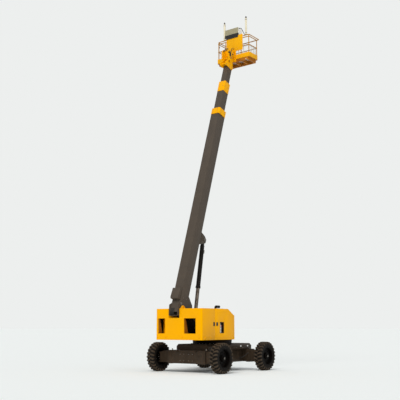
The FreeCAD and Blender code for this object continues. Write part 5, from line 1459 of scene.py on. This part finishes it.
class BOOMLIFT_OT_rails(bpy.types.Operator):
    """Bends the platform's rails and gate from tube, with uprights, screens and anchor eyes"""
    bl_idname = "boomlift.rails"
    bl_label = "Rails"

    def execute(self, context):
        flare = FRONT_X + 0.200
        top = tube_path("top_ring", [cage(REAR_X, -SIDE_Y, RAIL_TOP), cage(flare, -SIDE_Y, RAIL_TOP),
                                     cage(flare, SIDE_Y, RAIL_TOP), cage(REAR_X, SIDE_Y, RAIL_TOP)],
                        0.070, True, "platform")
        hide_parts("guard_rails")
        for name, z in (("second_ring", RAIL_RING), ("middle_ring", RAIL_MID)):
            tube_path(name, [cage(REAR_X, SIDE_Y - 0.002, z), cage(REAR_X, -SIDE_Y, z),
                             cage(FRONT_X, -SIDE_Y, z), cage(FRONT_X, SIDE_Y - 0.002, z)],
                      0.060, False, "platform")

        def uprights(bm):
            for x, y, z in ((REAR_X, -SIDE_Y, RAIL_TOP), (REAR_X, SIDE_Y, RAIL_TOP),
                            (FRONT_X, -SIDE_Y, RAIL_RING), (FRONT_X, SIDE_Y, RAIL_RING),
                            (FRONT_X, 0.0, RAIL_RING), (REAR_X, -0.5 * SIDE_Y, RAIL_RING),
                            (REAR_X, 0.5 * SIDE_Y, RAIL_RING)):
                inset_x = 0.016 if abs(y) == SIDE_Y and x == REAR_X else 0.0
                inset_y = -0.016 * (1 if y > 0 else -1) if inset_x else 0.0
                add_rod(bm, cage(x + inset_x, y + inset_y, DECK_Z),
                        cage(x + inset_x, y + inset_y, z - 0.004), RAIL - 0.001, 16)
            for side in (-1, 1):
                add_rod(bm, cage(FRONT_X, side * SIDE_Y, RAIL_RING),
                        cage(flare - 0.012, side * (SIDE_Y - 0.004), RAIL_TOP - 0.006),
                        RAIL - 0.001, 16)
        piece("rail_uprights", uprights, "shaded_tube_enamel", "platform", "rail_yellow", 40)

        def feet(bm):
            for x, y in ((REAR_X, -SIDE_Y), (REAR_X, SIDE_Y), (FRONT_X, -SIDE_Y),
                         (FRONT_X, SIDE_Y), (FRONT_X, 0.0), (REAR_X, -0.5 * SIDE_Y),
                         (REAR_X, 0.5 * SIDE_Y)):
                cx = x + (0.016 if x == REAR_X else -0.016)
                cy = y - 0.016 * (1 if y > 0 else -1 if y < 0 else 0)
                add_box(bm, cage(cx - 0.032, cy - 0.036, DECK_Z), cage(cx + 0.032, cy + 0.036,
                                                                       DECK_Z + 0.008), 0.002)
                for dx, dy in ((0.022, 0.026), (0.022, -0.026)):
                    sign = 1 if x == REAR_X else -1
                    add_bolt(bm, cage(cx + sign * dx, cy + dy, DECK_Z + 0.008), (0, 0, 1), 0.010,
                             0.006)
        piece("rail_feet", feet, "shaded_tube_enamel", "platform", "rail_yellow")

        def anchors(bm):
            for y in (-0.62, -0.25, 0.12):
                at = cage(FRONT_X - 0.020, y, 0.30)
                bow = [at + Vector((-0.032 * math.sin(a), 0.032 * math.cos(a), 0))
                       for a in (k * math.pi / 9 for k in range(10))]
                for start, end in zip(bow, bow[1:]):
                    add_rod(bm, start, end, 0.006, 8)
        piece("anchor_eyes", anchors, "bare_steel", "platform", "steel", 40)

        def screen(bm):
            z0, z1 = 0.294, RAIL_MID - RAIL
            lines = []
            for x, y0, y1 in ((FRONT_X - 0.0245, -SIDE_Y + 0.02, SIDE_Y - 0.02),
                              (REAR_X + 0.0225, -SIDE_Y + 0.02, SIDE_Y - 0.02)):
                count = int((y1 - y0) / 0.045)
                for k in range(count + 1):
                    y = y0 + (y1 - y0) * k / count
                    lines.append((cage(x, y, z0), cage(x, y, z1)))
                for k in range(7):
                    z = z0 + (z1 - z0) * k / 6
                    lines.append((cage(x, y0, z), cage(x, y1, z)))
            y = -SIDE_Y + 0.0225
            x0, x1 = REAR_X + 0.025, FRONT_X - 0.028
            for k in range(12):
                x = x0 + (x1 - x0) * k / 11
                lines.append((cage(x, y, z0), cage(x, y, z1)))
            for k in range(7):
                z = z0 + (z1 - z0) * k / 6
                lines.append((cage(x0, y, z), cage(x1, y, z)))
            for start, end in lines:
                add_rod(bm, start, end, 0.0022, 4)
        piece("screen_wires", screen, "zinc_coat", "platform", "mesh_pale")

        start = REAR_X + 2 * RAIL + 0.012
        end = FRONT_X - 2 * RAIL - 0.012
        low = DECK_Z + 0.040 + RAIL
        ring = tube_path("gate_ring", [cage(start, SIDE_Y, low), cage(end, SIDE_Y, low),
                                       cage(end, SIDE_Y, RAIL_RING),
                                       cage(start, SIDE_Y, RAIL_RING)], 0.045, True, "gate")
        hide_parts("platform_gate")

        def bars(bm):
            add_rod(bm, cage(start, SIDE_Y, RAIL_MID), cage(end, SIDE_Y, RAIL_MID),
                    RAIL - 0.001, 16)
            for x in (start + (end - start) / 3, start + 2 * (end - start) / 3):
                add_rod(bm, cage(x, SIDE_Y, low), cage(x, SIDE_Y, RAIL_MID), 0.009, 12)
            for z0, z1 in ((RAIL_RING + 0.010, RAIL_RING + 0.049), (low - 0.049, low - 0.010)):
                add_rod(bm, cage(end, SIDE_Y, z0), cage(end, SIDE_Y, z1), 0.0112, 16)
        piece("gate_bars", bars, "shaded_tube_enamel", "gate", "rail_yellow", 40)

        def toe(bm):
            add_box(bm, cage(start, SIDE_Y + RAIL - 0.002, low - RAIL),
                    cage(end, SIDE_Y + RAIL + 0.002, low - RAIL + 0.124), 0.0015)
        piece("gate_toe", toe, "rail_enamel", "gate", "rail_yellow")

        def latch(bm):
            add_box(bm, cage(start - 0.016, SIDE_Y - 0.030, 0.86),
                    cage(start + 0.030, SIDE_Y - 0.017, 0.94), 0.003)
            add_rod(bm, cage(start + 0.010, SIDE_Y - 0.024, 0.90),
                    cage(start + 0.010, SIDE_Y - 0.060, 0.90), 0.006, 12, 0.001)
        piece("gate_latch", latch, "bare_steel", "gate", "steel", 35)
        return {"FINISHED"}


class BOOMLIFT_OT_deck(bpy.types.Operator):
    """Dresses the platform's floor: frame, kick plates, tread bars, sheets, pedal and lamps"""
    bl_idname = "boomlift.deck"
    bl_label = "Deck"

    def execute(self, context):
        softened("platform_floor", "platform", "floor_paint_and_shade", "floor_orange", 0.003)
        softened("kick_plates", "platform", "rail_enamel", "rail_yellow", 0.0012)

        def beads(bm):
            x0, x1, y = CAGE_REAR + 0.002, CAGE_REAR + CAGE_DEPTH - 0.002, CAGE_HALF - 0.002
            for z in (0.082, 0.286):
                for x in (x0, x1):
                    add_rod(bm, cage(x, -y, z), cage(x, y, z), 0.0035, 8)
                add_rod(bm, cage(x0, -y, z), cage(x1, -y, z), 0.0035, 8)
        piece("kick_beads", beads, "rail_enamel", "platform", "rail_yellow", 40)

        def treads(bm):
            low_x, low_y = CAGE_REAR + 0.004, -CAGE_HALF + 0.004
            span_x, span_y = CAGE_DEPTH - 0.008, 2 * CAGE_HALF - 0.008
            rows, columns = 3, 8
            for row in range(rows):
                for column in range(columns):
                    x = low_x + 0.070 + (span_x - 0.140) * row / rows
                    y = low_y + 0.070 + (span_y - 0.140) * column / columns
                    w, d = (span_x - 0.140) / rows - 0.024, (span_y - 0.140) / columns - 0.024
                    for k in range(6):
                        cx = x + 0.012 + w * (k + 0.5) / 6
                        add_box(bm, cage(cx - 0.0015, y + 0.008, DECK_Z + 0.0002),
                                cage(cx + 0.0015, y + d + 0.016, DECK_Z + 0.0055))
                    for k in range(5):
                        cy = y + 0.012 + d * (k + 0.5) / 5
                        add_box(bm, cage(x + 0.008, cy - 0.0015, DECK_Z + 0.0002),
                                cage(x + w + 0.016, cy + 0.0015, DECK_Z + 0.0050))
        piece("tread_bars", treads, "zinc_coat", "platform", "mesh_pale")

        def sheets(bm):
            for column in range(4):
                y0 = -CAGE_HALF + 0.100 + column * 0.420
                for x0, x1 in ((0.100, 0.330), (0.380, 0.600)):
                    add_box(bm, cage(CAGE_REAR + x0, y0, DECK_Z - 0.006),
                            cage(CAGE_REAR + x1, y0 + 0.360, DECK_Z - 0.001), 0.001)
        piece("deck_sheets", sheets, "zinc_coat", "platform", "mesh_pale")

        def pedal(bm):
            at = cage(0.62, 0.15, 0.111)
            add_box(bm, at + Vector((-0.09, -0.07, 0)), at + Vector((0.09, 0.07, 0.016)), 0.004)
            verts = [(-0.075, 0.030), (0.070, 0.055), (0.070, 0.062), (-0.075, 0.037)]
            rings = [[at + Vector((x, y, z)) for x, z in verts] for y in (-0.055, 0.055)]
            add_stations(bm, rings)
            for side in (-1, 1):
                add_box(bm, at + Vector((-0.085, side * 0.062, 0.012)),
                        at + Vector((0.085, side * 0.068, 0.105)), 0.002)
            add_box(bm, at + Vector((0.078, -0.062, 0.012)), at + Vector((0.084, 0.062, 0.105)),
                    0.002)
        piece("foot_pedal", pedal, "black_abs", "platform", "black_plastic")

        def lamps(bm):
            for y in (-0.70, 0.70):
                at = cage(0.470, y, 0.035)
                add_disc(bm, at + Vector((0.012, 0, -0.055)), (0, 0, -1), 0.038, 0.022, 28,
                         0.006)
        piece("under_lamps", lamps, "clear_lens", "platform", "mesh_pale", 35)
        return {"FINISHED"}


class BOOMLIFT_OT_console(bpy.types.Operator):
    """Builds the control console: case, panel, joysticks, switches, black boxes as painted shade, guard
    and looms
    """
    bl_idname = "boomlift.console"
    bl_label = "Console"

    def execute(self, context):
        low = 1.227
        y0, y1 = -0.300, 0.440
        softened("control_console", "platform", "grey_abs", "console_grey", 0.008)
        softened("back_panel", "platform", "rail_enamel", "rail_yellow", 0.0015)

        def ends(bm):
            for y in (y0, y1):
                side = 1 if y > 0 else -1
                outline = [(CAGE_REAR - 0.012, low + 0.008), (CAGE_REAR + 0.322, low + 0.008),
                           (CAGE_REAR + 0.322, low + 0.255),
                           (CAGE_REAR + 0.194, low + 0.362), (CAGE_REAR - 0.012, low + 0.362)]
                rings = [[cage(x, y + off, z) for x, z in outline]
                         for off in sorted((-side * 0.001, side * 0.0035))]
                add_stations(bm, rings)
        piece("console_ends", ends, "white_abs", "platform", "mesh_pale")

        slope = Vector((0.132, 0, -0.111)).normalized()
        out = Vector((0.111, 0, 0.132)).normalized()
        corner = cage(CAGE_REAR + 0.198, 0, low + 0.370)

        def on_panel(along, y, rise=0.0):
            return corner + slope * along + Vector((0, y, 0)) + out * rise

        def panel(bm):
            top, bottom, left, right = 0.012, 0.158, y0 + 0.03, y1 - 0.03
            ring = [on_panel(top, left), on_panel(bottom, left), on_panel(bottom, right),
                    on_panel(top, right)]
            add_stations(bm, [ring, [p + out * 0.003 for p in ring]])
        piece("console_panel", panel, "black_abs", "platform", "black_plastic")

        def sticks(bm):
            for y in (-0.17, 0.29):
                at = on_panel(0.085, y, 0.003)
                add_disc(bm, at, out, 0.040, 0.010, 32, 0.003)
                for k in range(4):
                    add_disc(bm, at + out * (0.010 + k * 0.008), out, 0.030 - k * 0.005, 0.007,
                             24, 0.002)
                add_rod(bm, at + out * 0.030, at + out * 0.105, 0.009, 16, 0.002)
                add_rod(bm, at + out * 0.095, at + out * 0.170, 0.020, 24, 0.008)
        piece("console_sticks", sticks, "black_abs", "platform", "black_plastic", 35)

        def buttons(bm):
            for row in range(2):
                for col in range(6):
                    at = on_panel(0.045 + row * 0.050, -0.085 + col * 0.048, 0.003)
                    add_disc(bm, at, out, 0.013, 0.005, 20, 0.001)
                    add_rod(bm, at, at + out * 0.022 + slope * 0.005, 0.0038, 8)
        piece("console_switches", buttons, "bare_steel", "platform", "steel", 35)

        def stop(bm):
            at = on_panel(0.085, 0.225, 0.003)
            add_disc(bm, at, out, 0.013, 0.020, 24, 0.002)
            add_disc(bm, at + out * 0.018, out, 0.024, 0.013, 32, 0.006)
        piece("console_stop", stop, "red_abs", "platform", "floor_orange", 35)

        def lamps(bm):
            for col in range(8):
                at = on_panel(0.140, -0.10 + col * 0.040, 0.003)
                add_disc(bm, at, out, 0.007, 0.004, 16, 0.0015)
        piece("console_lamps", lamps, "amber_lens", "platform", "floor_orange", 35)

        # Painted shade: the black boxes under and behind the console stand in for the shade beneath its
        # case.
        def tray(bm):
            add_box(bm, cage(CAGE_REAR - 0.028, y0 - 0.004, low - 0.012),
                    cage(CAGE_REAR + 0.020, y1 + 0.004, low + 0.098), 0.006)
            add_box(bm, cage(CAGE_REAR - 0.022, y0 + 0.020, low - 0.100),
                    cage(CAGE_REAR - 0.003, y1 - 0.060, low - 0.012), 0.004)
            add_box(bm, cage(CAGE_REAR + 0.020, y0 - 0.004, low - 0.006),
                    cage(CAGE_REAR + 0.334, y1 + 0.004, low + 0.020), 0.004)
        piece("console_painted_shade", tray, "black_abs", "platform", "black_plastic")

        def screws(bm):
            for y in (y0 + 0.05, 0.07, y1 - 0.05):
                for z in (low + 0.135, low + 0.335):
                    add_bolt(bm, cage(CAGE_REAR - 0.020, y, z), (-1, 0, 0), 0.016, 0.006)
            for y in (y0 + 0.10, y1 - 0.10):
                for z in (0.62, 1.12):
                    add_bolt(bm, cage(CAGE_REAR - 0.002, y - 0.02, z), (-1, 0, 0), 0.018, 0.008)
        piece("console_screws", screws, "bare_steel", "platform", "steel")

        def ribs(bm):
            for y in (-0.25, -0.02, 0.20, 0.36):
                add_box(bm, cage(CAGE_REAR - 0.0055, y - 0.010, 0.50),
                        cage(CAGE_REAR - 0.0015, y + 0.010, 1.20), 0.001)
        piece("back_panel_ribs", ribs, "rail_enamel", "platform", "rail_yellow")

        tube_path("console_guard", [cage(REAR_X, y0 - 0.004, low + 0.30),
                                    cage(REAR_X, y0 - 0.14, low + 0.30),
                                    cage(REAR_X, -0.560, low + 0.06),
                                    cage(REAR_X, -0.640, RAIL_TOP + 0.015)], 0.060, False,
                  "platform", finish="black_enamel", slot="cylinder_black", radius=0.013)
        for k in range(3):
            y = 0.02 + k * 0.06
            hose("console_loom_%d" % k,
                 [cage(CAGE_REAR + 0.050, y, low + 0.02), cage(CAGE_REAR + 0.075, y, 1.05),
                  cage(CAGE_REAR + 0.070, y, 0.80), cage(CAGE_REAR + 0.055, y - 0.02, 0.55),
                  cage(CAGE_REAR + 0.053, y - 0.02, 0.33)], 0.008, "platform")
        return {"FINISHED"}


# Where the two posts stand across the platform.
POST_Y = (-0.71, 0.49)


class BOOMLIFT_OT_posts(bpy.types.Operator):
    """Turns the two guard posts with their feet, bands and domed caps"""
    bl_idname = "boomlift.posts"
    bl_label = "Posts"

    def execute(self, context):
        top_z = RAIL_TOP + RAIL

        def posts(bm):
            for y in POST_Y:
                place = upright(cage(REAR_X, y, 0))
                add_ring_surface(bm, [(top_z + 0.0095, 0.044), (top_z + 0.014, 0.0449),
                                      (top_z + 0.770, 0.0449), (top_z + 0.779, 0.041)], 40,
                                 place, closed_profile=False)
                add_box(bm, cage(REAR_X - 0.0195, y - 0.0595, top_z + 0.0003),
                        cage(REAR_X + 0.0395, y + 0.0595, top_z + 0.0098), 0.002)
        made = piece("posts_turned", posts, "cream_enamel", "platform", "post_cream", 35)
        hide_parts("guard_posts")

        def caps(bm):
            for y in POST_Y:
                place = upright(cage(REAR_X, y, 0))
                base = top_z + 0.780
                profile = [(base, 0.034), (base + 0.004, 0.0358), (base + 0.050, 0.0358),
                           (base + 0.054, 0.032), (base + 0.060, 0.032)]
                profile += [(base + 0.060 + 0.049 * math.sin(a), 0.032 * math.cos(a))
                            for a in (0.25, 0.5, 0.75, 1.0, 1.25, 1.45)]
                add_ring_surface(bm, profile, 36, place, closed_profile=False)
        domes = piece("post_domes", caps, "smoke_abs", "platform", "black_plastic", 35)
        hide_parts("post_caps")

        def bands(bm):
            for y in POST_Y:
                place = upright(cage(REAR_X, y, 0))
                for z in (top_z + 0.060, top_z + 0.700):
                    add_ring_surface(bm, [(z, 0.0450), (z, 0.0468), (z + 0.022, 0.0468),
                                          (z + 0.022, 0.0450)], 36, place)
                for dy in (-0.052, 0.052):
                    add_bolt(bm, cage(REAR_X + 0.010, y + dy, top_z + 0.0098), (0, 0, 1), 0.010,
                             0.007)
        piece("post_bands", bands, "bare_steel", "platform", "steel", 35)
        return {"FINISHED"}


class BOOMLIFT_PT_panel(bpy.types.Panel):
    """Lists the settings and the steps that dress the machine"""
    bl_label = "Boom Lift"
    bl_idname = "BOOMLIFT_PT_panel"
    bl_space_type = "VIEW_3D"
    bl_region_type = "UI"
    bl_category = "Boom Lift"

    def draw(self, context):
        for name, _ in SETTINGS:
            group = getattr(context.scene, name)
            box = self.layout.box()
            for key in group.__annotations__:
                box.prop(group, key)
        for step in STEPS:
            self.layout.operator(step.bl_idname)


SETTINGS = (("boomlift_finish", FinishSettings), ("boomlift_wheels", WheelSettings),
            ("boomlift_studio", StudioSettings))
STEPS = (BOOMLIFT_OT_finishes, BOOMLIFT_OT_studio, BOOMLIFT_OT_tyres, BOOMLIFT_OT_rims,
         BOOMLIFT_OT_chassis, BOOMLIFT_OT_knuckles, BOOMLIFT_OT_covers,
         BOOMLIFT_OT_ground_controls, BOOMLIFT_OT_engine, BOOMLIFT_OT_boom,
         BOOMLIFT_OT_cylinder, BOOMLIFT_OT_leveller, BOOMLIFT_OT_rails, BOOMLIFT_OT_deck,
         BOOMLIFT_OT_console, BOOMLIFT_OT_posts)
CLASSES = tuple(group for _, group in SETTINGS) + STEPS + (BOOMLIFT_PT_panel,)


def register():
    """Registers the settings, the steps and the panel."""
    for cls in CLASSES:
        bpy.utils.register_class(cls)
    for name, group in SETTINGS:
        setattr(bpy.types.Scene, name, PointerProperty(type=group))


def unregister():
    """Takes away what register() set up."""
    for name, _ in SETTINGS:
        delattr(bpy.types.Scene, name)
    for cls in reversed(CLASSES):
        bpy.utils.unregister_class(cls)


def main():
    """Runs every step."""
    register()
    for step in STEPS:
        group, name = step.bl_idname.split(".")
        getattr(getattr(bpy.ops, group), name)()


if __name__ == "__main__":
    main()
